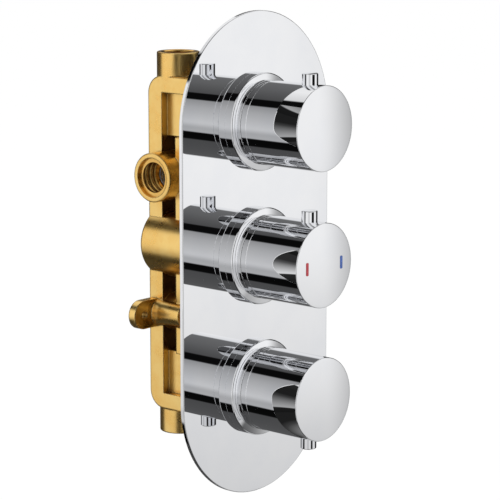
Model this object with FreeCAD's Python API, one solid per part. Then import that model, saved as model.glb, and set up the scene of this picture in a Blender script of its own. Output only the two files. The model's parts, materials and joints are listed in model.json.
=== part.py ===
import FreeCAD, Part
import math
import os

# Concealed thermostatic shower valve with three knobs: a top and a lower flow
# valve and a temperature knob between them. Lengths are in millimetres.
# X is to the user's right, Y runs into the wall and Z is up. The origin is the
# centre of the wall plate's back face, so what stands in the wall has Y > 0.

V = FreeCAD.Vector
Y_AXIS = V(0, 1, 0)
Z_AXIS = V(0, 0, 1)

# ---------------------------------------------------------------- wall plate
plate_width = 130.0
plate_height = 290.0
plate_thickness = 2.5
plate_edge_round = 0.5
valve_spacing = 80.0
seal_inset = 5.0
seal_width = 4.0
seal_depth = 1.2

# ---------------------------------------------------------------- clearances
running_clearance = 0.06
slip_clearance = 0.1
shroud_clearance = 0.3
seam_gap = 0.3
disc_gap = 0.05
oring_gap = 0.05
piece_gap = 0.2
overcut = 1.0
weld_lap = 0.5

# ------------------------------------------------------------------- shrouds
flange_radius = 29.0
flange_depth = 6.0
flange_round = 1.8
collar_depth = 2.4
shroud_tube_radius = 22.0
shroud_bore_radius = 17.4
shroud_tail = 2.0
oring_section = 1.9
flange_oring_section = 1.5
flange_oring_radius = 25.2

# --------------------------------------------------------------------- knobs
knob_radius = 25.0
ring_depth = 4.0
ring_bore_radius = 20.5
ring_spigot_depth = 2.5
shell_depth = 39.0
shell_wall = 2.0
face_thickness = 2.4
knob_edge_chamfer = 0.5
seam_chamfer = 0.35
hub_radius = 9.0
hub_length = 30.0
hub_bore_radius = 6.5
hub_bore_depth = 24.0
pin_radius = 4.75
pin_height = 6.3
pin_from_face = 11.7
pin_head_radius = 6.0
pin_head_depth = 2.0
pin_chamfer = 0.7
grub_radius = 2.0
grub_length = 5.5
grub_from_hub_back = 6.0
grub_socket_flats = 2.0
grub_socket_depth = 2.0
mark_width = 1.4
mark_height = 7.8
mark_depth = 0.3
mark_offset = 15.4

# ------------------------------------------------------- inserts and spindles
screw_head_room = 4.5
screw_head_radius = 3.6
screw_head_height = 2.8
screw_radius = 2.0
screw_depth = 11.0
screw_slot_reach = 2.2
screw_slot_notch = 1.4
screw_slot_depth = 1.4
insert_nose = 5.0
insert_back_inset = 3.0
insert_flange_radius = 12.0
insert_flange_depth = 2.5
spline_teeth = 20
spline_radius = 4.0
spline_tooth_depth = 0.5
spline_length = 16.0
stem_radius = 4.0

# --------------------------------------------------------- cast brass body
body_half_width = 13.0
frame_front = 24.0
frame_back = 74.5
frame_half_height = 103.0
frame_corner_radius = 11.0
frame_edge_round = 1.2
back_bar_depth = 11.5
front_web_back = 52.0
end_bar_height = 10.0
recess_height = 26.5
recess_floor_half_width = 8.0
recess_front = 36.0
socket_radius = 17.0
socket_front = 15.0
flow_socket_back = 42.0
housing_radius = 21.2
housing_front = 26.0
housing_floor = 2.3
housing_round = 2.0
socket_round = 0.8

# -------------------------------------------------------------- water ways
waterway_depth = 61.0
inlet_height = 42.5
inlet_boss_radius = 15.0
inlet_reach = 24.0
inlet_counterbore_radius = 12.0
inlet_counterbore_depth = 2.0
thread_minor_radius = 9.32
thread_major_radius = 10.48
inlet_thread_length = 12.6
port_lead_in = 1.0
port_drill_point = 2.0
check_pocket_radius = 7.6
centre_wall_half = 2.5
top_port_radius = 13.0
top_port_end = 117.0
bottom_port_radius = 12.5
bottom_port_end = 118.0
port_thread_length = 14.4
outlet_way_radius = 5.5
mixed_way_depth = 31.5
mixed_way_radius = 4.0
supply_way_radius = 3.2
supply_way_offset = 5.5
hot_way_depth = 68.2
cold_way_depth = 47.0

# ------------------------------------------------------------- fixing lugs
lug_height = -42.5
lug_hole_spacing = 50.0
lug_hole_radius = 2.25
lug_radius = 8.75
lug_front = 67.0
lug_thickness = 5.0
lug_column_radius = 11.8
lug_column_offset = 3.0
rib_radius = 8.0
rib_offset = 10.0
rib_front = 46.0
rib_flare_radius = 9.0
rib_flare_length = 5.0

# ---------------------------------------------------------- flow cartridges
gland_nose_radius = 7.0
gland_nose_length = 4.0
gland_hex_height = 7.0
gland_hex_flats = 24.0
gland_thread_radius = 12.1
gland_thread_length = 9.0
gland_thread_pitch = 1.5
gland_thread_depth = 0.6
thread_crest_share = 0.3
gland_skirt_radius = 10.9
gland_bore_radius = 8.6
flow_bore_depth = 24.0
seat_seal_thickness = 1.8
seat_seal_width = 1.4
small_oring_section = 1.3
gland_window_width = 9.0
gland_window_start = 3.5
gland_window_length = 5.5
disc_radius = 8.3
disc_thickness = 3.0
disc_window_inner = 3.4
disc_window_outer = 7.0
disc_window_angle = 80.0
disc_tab_width = 3.0
disc_tab_reach = 9.9
spindle_flange_depth = 2.7
tongue_width = 12.0
tongue_thickness = 4.0
tongue_engagement = 1.5

# --------------------------------------------------- thermostatic cartridge
nut_radius = 16.4
nut_head_height = 5.0
nut_thread_radius = 14.1
nut_thread_length = 8.0
nut_notch_width = 4.0
nut_notch_depth = 2.0
neck_radius = 8.9
neck_front = -2.0
cartridge_radius = 13.1
cartridge_bore_radius = 8.6
cartridge_shoulder = 2.0
band_radius = 11.2
mixed_band = (27.5, 36.0)
mixed_window = (28.0, 35.0)
cold_band = (43.5, 52.5)
hot_band = (64.0, 70.4)
cartridge_window_width = 6.0
cold_window_length = 3.5
cold_seat_lap = 1.0
hot_window_length = 3.0
cartridge_oring_depths = (25.4, 40.0, 58.0)
key_width = 3.0
key_reach = 9.45
key_slot_end = 42.0
cold_seat_front = 45.0
seat_ring_bore = 7.3
valve_opening = 1.2
sleeve_length = 13.6
sleeve_spider = (1.8, 3.8)
sleeve_hub_radius = 5.3
spider_arm_width = 2.0
adjusting_thread_radius = 5.0
temperature_flange_radius = 8.0
temperature_flange_depth = 2.0
slider_lead_gap = 1.5
slider_core_radius = 6.5
slider_nut_length = 5.0
slider_length = 10.7
slider_pocket_radius = 5.4
slider_travel = 1.0
wax_capsule_radius = 4.4
wax_stud_radius = 2.9
wax_piston_radius = 1.4
wax_piston_length = 2.4
wax_piston_head_depth = 1.0
wax_piston_reach = 1.5
wax_edge = 0.8
plug_pocket_radius = 6.4
plug_pocket_depth = 2.0
return_spring_radius = 5.2
return_spring_wire = 1.1
return_spring_turns = 4.5
overload_spring_wire = 0.9
overload_spring_turns = 2.5

# ---------------------------------------------------- temperature stop ring
stop_ring_radius = 12.0
stop_ring_depth = 6.0
stop_lug_depth = 3.0
stop_lug_inner = 9.5
stop_tab_angle = 20.0
temperature_half_turn = 90.0
stop_spare_angle = 1.0
stop_tab_gap = 0.4

# -------------------------------------------------------------- check valves
check_seat_thickness = 1.8
check_seat_bore = 4.6
check_wall = 1.2
check_end_wall = 0.8
check_guide_radius = 2.2
check_guide_length = 1.2
check_stem_radius = 1.2
check_disc_radius = 5.4
check_disc_thickness = 1.2
check_travel = 1.2
check_window_width = 6.0
check_spring_wire = 0.4
check_spring_turns = 2.25
screen_thickness = 0.5
screen_radius = 6.6
screen_hole_radius = 0.55
screen_hole_pitch = 1.8
screen_rim = 0.5

# ------------------------------------------------------- places worked out
valve_heights = {"top": valve_spacing, "middle": 0.0, "lower": -valve_spacing}
flow_heights = {"top": valve_spacing, "lower": -valve_spacing}
pin_sides = {"top": 1, "middle": 1, "lower": -1}

plate_front = -plate_thickness
flange_front = plate_front - flange_depth
collar_front = flange_front - collar_depth
ring_back = collar_front - seam_gap
ring_front = ring_back - ring_depth
knob_face = ring_front - shell_depth
shell_inner_radius = knob_radius - shell_wall
shell_floor = knob_face + face_thickness
hub_back = shell_floor + hub_length
hub_bore_end = hub_back - hub_bore_depth
insert_front = hub_bore_end + screw_head_room
insert_back = collar_front + insert_back_inset
spline_front = insert_front + insert_nose
spline_back = spline_front + spline_length
pin_depth = knob_face + pin_from_face
pin_hole_radius = pin_radius + running_clearance
plate_hole_radius = shroud_tube_radius + shroud_clearance
shroud_back = frame_front - shroud_tail

window_front = front_web_back
window_back = frame_back - back_bar_depth
recess_top = frame_half_height - end_bar_height
recess_bottom = recess_top - recess_height

gland_front = socket_front - gland_hex_height - gland_nose_length
gland_thread_end = socket_front + gland_thread_length
flow_seat = socket_front + flow_bore_depth
gland_back = flow_seat - seat_seal_thickness
fixed_disc_front = gland_back - disc_thickness
moving_disc_front = fixed_disc_front - disc_gap - disc_thickness
stem_bore_radius = stem_radius + running_clearance

housing_bore_end = frame_back - housing_floor
cartridge_front = socket_front + nut_thread_length
cartridge_back = housing_bore_end - piece_gap
cartridge_bore_start = cartridge_front + cartridge_shoulder
adjusting_flange_front = cartridge_bore_start + seam_gap
adjusting_flange_back = adjusting_flange_front + temperature_flange_depth
slider_front = adjusting_flange_back + slider_lead_gap
slider_pocket_front = slider_front + slider_nut_length
adjusting_screw_end = slider_pocket_front - slider_travel - seam_gap
slider_back = slider_front + slider_length
cold_seat_back = cold_band[1] - cold_window_length + cold_seat_lap
sleeve_front = cold_seat_back + valve_opening
sleeve_back = sleeve_front + sleeve_length
hot_seat = sleeve_back + valve_opening
spider_front = sleeve_front + sleeve_spider[0]
spider_back = sleeve_front + sleeve_spider[1]
wax_piston_back = slider_back + wax_piston_reach
plug_pocket_floor = hot_seat + plug_pocket_depth

inlet_thread_end = inlet_reach - inlet_counterbore_depth - inlet_thread_length
check_inner = centre_wall_half + piece_gap
check_outer = inlet_thread_end - slip_clearance
check_radius = check_pocket_radius - slip_clearance
check_seat = check_outer - check_seat_thickness


# ------------------------------------------------------------ shape helpers
def valve_axis(height):
    """The Y axis of one valve: distances along it are depths into the wall."""
    return V(0, 0, height), Y_AXIS


def inlet_axis(side):
    """An inlet's axis, from the centre of the body outwards to one side."""
    return V(0, waterway_depth, inlet_height), V(side, 0, 0)


def outlet_axis(side):
    """An outlet's axis, upwards for side 1 and downwards for side -1."""
    return V(0, waterway_depth, 0), V(0, 0, side)


def turned(outline, axis):
    """Turn a closed outline of (radius, distance) points about an axis."""
    base, direction = axis
    points = [V(radius, 0, distance) for radius, distance in outline]
    face = Part.Face(Part.makePolygon(points + points[:1]))
    solid = face.revolve(V(0, 0, 0), Z_AXIS, 360)
    if solid.Volume < 0:
        solid.reverse()
    turn = FreeCAD.Rotation(Z_AXIS, direction)
    solid.Placement = FreeCAD.Placement(base, turn)
    return solid


def cylinder(radius, start, end, axis):
    base, direction = axis
    return Part.makeCylinder(radius, end - start, base + direction * start, direction)


def tube(inner, outer, start, end, axis):
    return turned([(inner, start), (outer, start), (outer, end), (inner, end)], axis)


def block(x_span, y_span, z_span):
    low = V(x_span[0], y_span[0], z_span[0])
    size = V(x_span[1], y_span[1], z_span[1]) - low
    return Part.makeBox(size.x, size.y, size.z, low)


def prism(points, start, end, height):
    """Extrude (x, z) points along Y, about a valve axis at this height."""
    corners = [V(x, start, height + z) for x, z in points]
    face = Part.Face(Part.makePolygon(corners + corners[:1]))
    return face.extrude(V(0, end - start, 0))


def sector(inner, outer, start, end, middle_angle, width, height):
    """Part of a ring about a valve axis. Angles run from +X towards +Z."""
    points = [V(inner, start, 0), V(outer, start, 0), V(outer, end, 0), V(inner, end, 0)]
    face = Part.Face(Part.makePolygon(points + points[:1]))
    solid = face.revolve(V(0, 0, 0), V(0, -1, 0), width)
    solid.rotate(V(0, 0, 0), V(0, -1, 0), middle_angle - width / 2)
    solid.translate(V(0, 0, height))
    return solid


def star(radius, tooth_depth, teeth):
    """The (x, z) outline of a toothed spline."""
    points = []
    for step in range(2 * teeth):
        reach = radius - (step % 2) * tooth_depth
        angle = math.pi * step / teeth
        points.append((reach * math.cos(angle), reach * math.sin(angle)))
    return points


def hexagon(flats):
    """The (x, z) outline of a hexagon with this width across its flats."""
    corner = flats / math.sqrt(3)
    turns = [math.radians(60 * step) for step in range(6)]
    return [(corner * math.cos(turn), corner * math.sin(turn)) for turn in turns]


def thread_steps(crest, root, start, end, pitch):
    """Outline points of ring grooves from start to end, with flat crests."""
    count = max(1, int(abs(end - start) / pitch))
    pitch = (end - start) / count
    flat = thread_crest_share * pitch / 2
    points = [(crest, start)]
    for ring in range(count):
        low = start + ring * pitch
        high = low + pitch
        points += [(crest, low + flat), (root, (low + high) / 2), (crest, high - flat)]
    return points + [(crest, end)]


def circle_edges(shape, radius, place, read_place):
    """Full circles of one radius whose centre lies at a place on an axis."""
    found = []
    for edge in shape.Edges:
        curve = edge.Curve
        if not isinstance(curve, Part.Circle):
            continue
        if abs(curve.Radius - radius) < 1e-4 and abs(read_place(curve.Center) - place) < 1e-4:
            found.append(edge)
    return found


def torus(ring_radius, section, place, axis):
    """An O-ring: its section's centre runs at ring_radius about the axis."""
    base, direction = axis
    return Part.makeTorus(ring_radius, section / 2, base + direction * place, direction)


def coil(mean_radius, wire, start, end, turns, axis):
    """A round-wire compression spring between two seats, in quarter-turn arcs."""
    base, direction = axis
    rise = end - start - wire
    steps = round(turns * 8)
    points = []
    for step in range(steps + 1):
        angle = math.pi / 4 * step
        x = mean_radius * math.cos(angle)
        y = mean_radius * math.sin(angle)
        points.append(V(x, y, rise * step / steps))
    arcs = [Part.Arc(*points[i:i + 3]).toShape() for i in range(0, steps, 2)]
    heading = arcs[0].tangentAt(arcs[0].FirstParameter)
    section = Part.Wire(Part.makeCircle(wire / 2, points[0], heading))
    spring = Part.Wire(arcs).makePipeShell([section], True, False)
    turn = FreeCAD.Rotation(Z_AXIS, direction)
    spring.Placement = FreeCAD.Placement(base + direction * (start + wire / 2), turn)
    return spring


def stadium(width, height, start, end):
    """An upright stadium of the plate's form, from one depth to another."""
    radius = width / 2
    straight = height / 2 - radius
    right_low = V(radius, start, -straight)
    right_high = V(radius, start, straight)
    left_high = V(-radius, start, straight)
    left_low = V(-radius, start, -straight)
    crown = V(0, start, height / 2)
    foot = V(0, start, -height / 2)
    edges = [
        Part.makeLine(right_low, right_high),
        Part.Arc(right_high, crown, left_high).toShape(),
        Part.makeLine(left_high, left_low),
        Part.Arc(left_low, foot, right_low).toShape(),
    ]
    return Part.Face(Part.Wire(edges)).extrude(V(0, end - start, 0))


def stadium_ring(inset, width, start, end):
    outer = stadium(plate_width - 2 * inset, plate_height - 2 * inset, start, end)
    hole_inset = inset + width
    hole = stadium(plate_width - 2 * hole_inset, plate_height - 2 * hole_inset, start, end)
    return outer.cut(hole)


def merged(shapes):
    return shapes[0].multiFuse(shapes[1:]).removeSplitter()


# ---------------------------------------------------------------- cast body
def frame_slab():
    """The body's flat frame: a rounded slab on edge, in the Y-Z plane."""
    radius = frame_corner_radius
    slab = block(
        (-body_half_width, body_half_width),
        (frame_front, frame_back),
        (-frame_half_height, frame_half_height),
    )
    corners = []
    for edge in slab.Edges:
        along_x = abs(edge.Vertexes[0].X - edge.Vertexes[1].X) > body_half_width
        if along_x:
            corners.append(edge)
    slab = slab.makeFillet(radius, corners)
    rims = []
    for edge in slab.Edges:
        on_side = all(abs(abs(v.X) - body_half_width) < 1e-4 for v in edge.Vertexes)
        if on_side and abs(edge.BoundBox.XLength) < 1e-4:
            rims.append(edge)
    return slab.makeFillet(frame_edge_round, rims)


def side_recess(side, end):
    """A panel sunk into one side face, near the frame's top or bottom."""
    heights = sorted((end * recess_bottom, end * recess_top))
    reach = sorted((side * recess_floor_half_width, side * (body_half_width + overcut)))
    return block(reach, (recess_front, window_back), heights)


def socket(height, back):
    barrel = cylinder(socket_radius, socket_front, back, valve_axis(height))
    rims = circle_edges(barrel, socket_radius, socket_front, lambda centre: centre.y)
    return barrel.makeChamfer(socket_round, rims)


def thermostat_housing():
    """The wide part behind the middle socket, flush with the back of the frame."""
    barrel = cylinder(housing_radius, housing_front, frame_back, valve_axis(0))
    rims = circle_edges(barrel, housing_radius, frame_back, lambda centre: centre.y)
    return barrel.makeFillet(housing_round, rims)


def outlet_port(side, radius, end):
    port = cylinder(radius, recess_top, end, outlet_axis(side))
    rims = circle_edges(port, radius, side * end, lambda centre: centre.z)
    return port.makeFillet(socket_round, rims)


def inlet_boss():
    boss = cylinder(inlet_boss_radius, -inlet_reach, inlet_reach, inlet_axis(1))
    ends = []
    for side in (-1, 1):
        ends += circle_edges(
            boss, inlet_boss_radius, side * inlet_reach, lambda centre: centre.x
        )
    return boss.makeFillet(socket_round, ends)


def lug_pair():
    """The two fixing ears, the rib in front of each and the column that joins them."""
    lug_back = lug_front + lug_thickness
    half_spacing = lug_hole_spacing / 2
    heights = (lug_height - lug_radius, lug_height + lug_radius)
    pieces = [block((-half_spacing, half_spacing), (lug_front, lug_back), heights)]
    for side in (-1, 1):
        ear_axis = (V(side * half_spacing, 0, lug_height), Y_AXIS)
        rib_axis = (V(side * rib_offset, 0, lug_height), Y_AXIS)
        flare = [
            (0, lug_front - rib_flare_length),
            (rib_radius, lug_front - rib_flare_length),
            (rib_flare_radius, lug_front),
            (0, lug_front),
        ]
        pieces.append(cylinder(lug_radius, lug_front, lug_back, ear_axis))
        pieces.append(cylinder(rib_radius, rib_front, lug_front, rib_axis))
        pieces.append(turned(flare, rib_axis))
        column_axis = (V(side * lug_column_offset, 0, lug_height), Y_AXIS)
        pieces.append(cylinder(lug_column_radius, rib_front, lug_front, column_axis))
    depths = (rib_front, lug_front)
    rib_heights = (lug_height - rib_radius, lug_height + rib_radius)
    column_heights = (lug_height - lug_column_radius, lug_height + lug_column_radius)
    pieces.append(block((-rib_offset, rib_offset), depths, rib_heights))
    pieces.append(block((-lug_column_offset, lug_column_offset), depths, column_heights))
    return pieces


def inlet_cut(side):
    """Counterbore, threaded bore and check valve pocket of one inlet."""
    floor = inlet_reach - inlet_counterbore_depth
    outline = [
        (0, inlet_reach + overcut),
        (inlet_counterbore_radius, inlet_reach + overcut),
        (inlet_counterbore_radius, floor),
        (thread_minor_radius, floor),
        (thread_minor_radius, inlet_thread_end),
        (check_pocket_radius, inlet_thread_end),
        (check_pocket_radius, centre_wall_half),
        (0, centre_wall_half),
    ]
    return turned(outline, inlet_axis(side))


def outlet_cut(side, end):
    """Threaded bore of one outlet and the way down to its flow valve."""
    thread_end = end - port_thread_length
    outline = [
        (0, end + overcut),
        (thread_major_radius, end + overcut),
        (thread_major_radius, end),
        (thread_minor_radius, end - port_lead_in),
        (thread_minor_radius, thread_end),
        (outlet_way_radius, thread_end - port_drill_point),
        (outlet_way_radius, valve_spacing),
        (0, valve_spacing),
    ]
    return turned(outline, outlet_axis(side))


def flow_cut(height):
    """The bore that takes a flow cartridge, and its outlet at the back."""
    thread_radius = gland_thread_radius + slip_clearance
    bore_radius = gland_skirt_radius + slip_clearance
    thread_end = gland_thread_end + slip_clearance
    outline = [
        (0, socket_front - overcut),
        (thread_radius, socket_front - overcut),
        (thread_radius, thread_end),
        (bore_radius, thread_end),
        (bore_radius, flow_seat),
        (outlet_way_radius, flow_seat),
        (outlet_way_radius, waterway_depth),
        (0, waterway_depth),
    ]
    return turned(outline, valve_axis(height))


def thermostat_cut():
    thread_radius = nut_thread_radius + slip_clearance
    bore_radius = cartridge_radius + slip_clearance
    outline = [
        (0, socket_front - overcut),
        (thread_radius, socket_front - overcut),
        (thread_radius, cartridge_front),
        (bore_radius, cartridge_front),
        (bore_radius, housing_bore_end),
        (0, housing_bore_end),
    ]
    return turned(outline, valve_axis(0))


def supply_cuts():
    """The mixed way up the front, and the hot and cold ways from the inlets."""
    mixed_axis = (V(0, mixed_way_depth, 0), Z_AXIS)
    hot_axis = (V(-supply_way_offset, hot_way_depth, 0), Z_AXIS)
    cold_axis = (V(supply_way_offset, cold_way_depth, 0), Z_AXIS)
    cross_axis = (V(supply_way_offset, 0, inlet_height), Y_AXIS)
    top = inlet_height + supply_way_radius / 2
    return [
        cylinder(mixed_way_radius, -valve_spacing, valve_spacing, mixed_axis),
        cylinder(supply_way_radius, 0, top, hot_axis),
        cylinder(supply_way_radius, 0, top, cold_axis),
        cylinder(supply_way_radius, cold_way_depth, waterway_depth, cross_axis),
    ]


def body_casting():
    slab = frame_slab()
    window = block(
        (-body_half_width - overcut, body_half_width + overcut),
        (window_front, window_back),
        (-recess_bottom, recess_bottom),
    )
    recesses = [side_recess(side, end) for side in (-1, 1) for end in (-1, 1)]
    slab = slab.cut(Part.makeCompound([window]))
    slab = slab.cut(Part.makeCompound(recesses))
    solids = [slab]
    solids += [socket(height, flow_socket_back) for height in valve_heights.values()]
    solids += [thermostat_housing()]
    solids += [outlet_port(1, top_port_radius, top_port_end)]
    solids += [outlet_port(-1, bottom_port_radius, bottom_port_end)]
    solids += [inlet_boss()] + lug_pair()
    body = merged(solids)
    cuts = [inlet_cut(-1), inlet_cut(1)]
    cuts += [outlet_cut(1, top_port_end), outlet_cut(-1, bottom_port_end)]
    cuts += [flow_cut(height) for height in flow_heights.values()]
    cuts += [thermostat_cut()] + supply_cuts()
    for side in (-1, 1):
        ear_axis = (V(side * lug_hole_spacing / 2, 0, lug_height), Y_AXIS)
        start = lug_front - overcut
        end = lug_front + lug_thickness + overcut
        cuts.append(cylinder(lug_hole_radius, start, end, ear_axis))
    for cut in cuts:
        body = body.cut(cut)
    return body.removeSplitter()


# ------------------------------------------------------ wall plate and seals
def wall_plate():
    plate = stadium(plate_width, plate_height, plate_front, 0)
    rims = [edge for edge in plate.Edges if abs(edge.BoundBox.YMax - plate_front) < 1e-4]
    plate = plate.makeFillet(plate_edge_round, rims)
    for height in valve_heights.values():
        hole = cylinder(plate_hole_radius, plate_front - overcut, overcut, valve_axis(height))
        plate = plate.cut(hole)
    return plate.cut(stadium_ring(seal_inset, seal_width, -seal_depth, overcut))


def plate_seal():
    inset = seal_inset + slip_clearance
    return stadium_ring(inset, seal_width - 2 * slip_clearance, -seal_depth, 0)


def shroud(height):
    """Flange, collar and tube that cover one valve where it leaves the wall."""
    axis = valve_axis(height)
    outline = [
        (shroud_bore_radius, collar_front),
        (knob_radius, collar_front),
        (knob_radius, flange_front),
        (flange_radius, flange_front),
        (flange_radius, plate_front),
        (shroud_tube_radius, plate_front),
        (shroud_tube_radius, shroud_back),
        (shroud_bore_radius, shroud_back),
    ]
    shape = turned(outline, axis)
    rims = circle_edges(shape, flange_radius, flange_front, lambda centre: centre.y)
    shape = shape.makeFillet(flange_round, rims)
    groove_back = shroud_oring_depth() + oring_section / 2 + oring_gap
    groove_front = shroud_oring_depth() - oring_section / 2 - oring_gap
    groove_radius = socket_radius + oring_section + 2 * oring_gap
    shape = shape.cut(cylinder(groove_radius, groove_front, groove_back, axis))
    reach = flange_oring_section / 2 + oring_gap
    groove = tube(
        flange_oring_radius - reach,
        flange_oring_radius + reach,
        plate_front - 2 * reach,
        plate_front + overcut,
        axis,
    )
    return shape.cut(groove)


def shroud_oring_depth():
    return (socket_front + shroud_back) / 2


def shroud_orings():
    radius = socket_radius + oring_gap + oring_section / 2
    depth = shroud_oring_depth()
    rings = [torus(radius, oring_section, depth, valve_axis(z)) for z in valve_heights.values()]
    return Part.makeCompound(rings)


def flange_orings():
    depth = plate_front - oring_gap - flange_oring_section / 2
    rings = []
    for height in valve_heights.values():
        axis = valve_axis(height)
        rings.append(torus(flange_oring_radius, flange_oring_section, depth, axis))
    return Part.makeCompound(rings)


# --------------------------------------------------------------------- knobs
def pin_axis(name):
    return V(0, pin_depth, valve_heights[name]), V(0, 0, pin_sides[name])


def grub_axis(name):
    """The grub screw always faces the floor."""
    depth = hub_back - grub_from_hub_back
    return V(0, depth, valve_heights[name]), V(0, 0, -1)


def knob_shell(name):
    axis = valve_axis(valve_heights[name])
    outline = [
        (0, knob_face),
        (knob_radius - knob_edge_chamfer, knob_face),
        (knob_radius, knob_face + knob_edge_chamfer),
        (knob_radius, ring_front - seam_chamfer),
        (knob_radius - seam_chamfer, ring_front),
        (shell_inner_radius, ring_front),
        (shell_inner_radius, shell_floor),
        (hub_radius, shell_floor),
        (hub_radius, hub_back),
        (hub_bore_radius, hub_back),
        (hub_bore_radius, hub_bore_end),
        (0, hub_bore_end),
    ]
    shell = turned(outline, axis)
    outside = knob_radius + overcut
    pin_hole = cylinder(pin_hole_radius, hub_radius + overcut, outside, pin_axis(name))
    grub_hole = cylinder(grub_radius + running_clearance, 0, outside, grub_axis(name))
    shell = shell.cut(pin_hole).cut(grub_hole)
    if name == "middle":
        for side in (-1, 1):
            shell = shell.cut(mark(side))
    return shell


def mark(side):
    """A flush coloured bar in the temperature knob's face."""
    middle = side * mark_offset
    return block(
        (middle - mark_width / 2, middle + mark_width / 2),
        (knob_face, knob_face + mark_depth),
        (-mark_height / 2, mark_height / 2),
    )


def knob_ring(height):
    spigot_radius = shell_inner_radius - slip_clearance
    outline = [
        (ring_bore_radius, ring_back),
        (knob_radius, ring_back),
        (knob_radius, ring_front + seam_chamfer),
        (knob_radius - seam_chamfer, ring_front),
        (spigot_radius, ring_front),
        (spigot_radius, ring_front - ring_spigot_depth),
        (ring_bore_radius, ring_front - ring_spigot_depth),
    ]
    return turned(outline, valve_axis(height))


def knob_pin(name):
    """Pin pushed out through the shell, held by its head inside."""
    top = knob_radius + pin_height
    head_top = math.sqrt(shell_inner_radius**2 - pin_head_radius**2) - slip_clearance
    outline = [
        (0, head_top - pin_head_depth),
        (pin_head_radius, head_top - pin_head_depth),
        (pin_head_radius, head_top),
        (pin_radius, head_top),
        (pin_radius, top - pin_chamfer),
        (pin_radius - pin_chamfer, top),
        (0, top),
    ]
    return turned(outline, pin_axis(name))


def grub_screw(name):
    inner = hub_bore_radius - slip_clearance + running_clearance
    axis = grub_axis(name)
    screw = cylinder(grub_radius, inner, inner + grub_length, axis)
    base, direction = axis
    corner = grub_socket_flats / math.sqrt(3)
    floor = base + direction * (inner + grub_length - grub_socket_depth)
    return screw.cut(Part.makeCylinder(corner, grub_socket_depth, floor, direction))


def insert_stop_tab(height):
    reach = neck_front - stop_tab_gap
    return sector(
        stop_lug_inner, stop_ring_radius, insert_back, reach, 90, stop_tab_angle, height
    )


def knob_insert(name):
    """Plastic adapter between the knob's hub and the splined spindle."""
    height = valve_heights[name]
    axis = valve_axis(height)
    outer = hub_bore_radius - slip_clearance
    flange_front_depth = insert_back - insert_flange_depth
    outline = [
        (screw_radius + slip_clearance, insert_front),
        (outer, insert_front),
        (outer, flange_front_depth),
        (insert_flange_radius, flange_front_depth),
        (insert_flange_radius, insert_back),
        (stem_radius + piece_gap, insert_back),
        (stem_radius + piece_gap, spline_front),
        (screw_radius + slip_clearance, spline_front),
    ]
    sleeve = turned(outline, axis)
    toothed = star(spline_radius + running_clearance, spline_tooth_depth, spline_teeth)
    grip = tube(spline_radius - 2 * spline_tooth_depth, outer, spline_front, spline_back, axis)
    grip = grip.cut(prism(toothed, spline_front, spline_back, height))
    sleeve = sleeve.fuse(grip)
    if name == "middle":
        sleeve = sleeve.fuse(insert_stop_tab(height))
    return sleeve.removeSplitter()


def insert_screw(height):
    axis = valve_axis(height)
    head_front = insert_front - screw_head_height
    point = spline_front + screw_depth - overcut
    outline = [
        (0, head_front),
        (screw_head_radius, head_front),
        (screw_head_radius, insert_front),
        (screw_radius, insert_front),
        (screw_radius, point),
        (0, point),
    ]
    screw = turned(outline, axis)
    slots = star(screw_slot_reach, screw_slot_notch, 4)
    return screw.cut(prism(slots, head_front - overcut, head_front + screw_slot_depth, height))


def spindle_front_end(height, stem_end):
    """Splined and tapped front of a spindle, with its stem."""
    axis = valve_axis(height)
    front = spline_front + piece_gap
    spline = prism(star(spline_radius, spline_tooth_depth, spline_teeth), front, spline_back, height)
    stem = cylinder(stem_radius, spline_back, stem_end, axis)
    hole_radius = screw_radius + running_clearance
    tapped = cylinder(hole_radius, front - overcut, front + screw_depth, axis)
    return spline.fuse(stem).cut(tapped)


# ---------------------------------------------------------- flow cartridges
def gland_oring_depth():
    return gland_thread_end + small_oring_section


def flow_gland(height):
    """Threaded brass housing of a flow cartridge."""
    axis = valve_axis(height)
    hex_front = gland_front + gland_nose_length
    shoulder = gland_thread_end
    outline = [(stem_bore_radius, gland_front), (gland_nose_radius, gland_front)]
    outline += [(gland_nose_radius, hex_front)]
    outline += [(gland_thread_radius - gland_thread_depth, hex_front)]
    outline += [(gland_thread_radius - gland_thread_depth, socket_front)]
    outline += thread_steps(
        gland_thread_radius,
        gland_thread_radius - gland_thread_depth,
        socket_front,
        gland_thread_end,
        gland_thread_pitch,
    )
    outline += [(gland_skirt_radius, gland_thread_end), (gland_skirt_radius, gland_back)]
    outline += [(gland_bore_radius, gland_back), (gland_bore_radius, shoulder)]
    outline += [(stem_bore_radius, shoulder)]
    gland = turned(outline, axis)
    head = prism(hexagon(gland_hex_flats), hex_front, socket_front, height)
    gland = gland.fuse(head.cut(cylinder(stem_bore_radius, 0, socket_front, axis)))
    groove_inner = gland_skirt_radius - small_oring_section
    reach = small_oring_section / 2 + oring_gap
    depth = gland_oring_depth()
    outside = gland_skirt_radius + overcut
    groove = tube(groove_inner, outside, depth - reach, depth + reach, axis)
    window_start = gland_thread_end + gland_window_start
    half_width = gland_window_width / 2
    windows = block(
        (-half_width, half_width),
        (window_start, window_start + gland_window_length),
        (height - outside, height + outside),
    )
    tab_half = disc_tab_width / 2 + slip_clearance
    tab_reach = disc_tab_reach + slip_clearance
    notches = block(
        (-tab_reach, tab_reach),
        (fixed_disc_front - disc_gap, gland_back),
        (height - tab_half, height + tab_half),
    )
    return gland.cut(groove).cut(windows).cut(notches).removeSplitter()


def gland_orings():
    radius = gland_skirt_radius + oring_gap - small_oring_section / 2
    rings = []
    for height in flow_heights.values():
        axis = valve_axis(height)
        rings.append(torus(radius, small_oring_section, gland_oring_depth(), axis))
    return Part.makeCompound(rings)


def disc_windows(front, first_angle, height):
    back = front + disc_thickness
    windows = []
    for angle in (first_angle, first_angle + 180):
        windows.append(
            sector(
                disc_window_inner,
                disc_window_outer,
                front - overcut,
                back + overcut,
                angle,
                disc_window_angle,
                height,
            )
        )
    return windows


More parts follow.
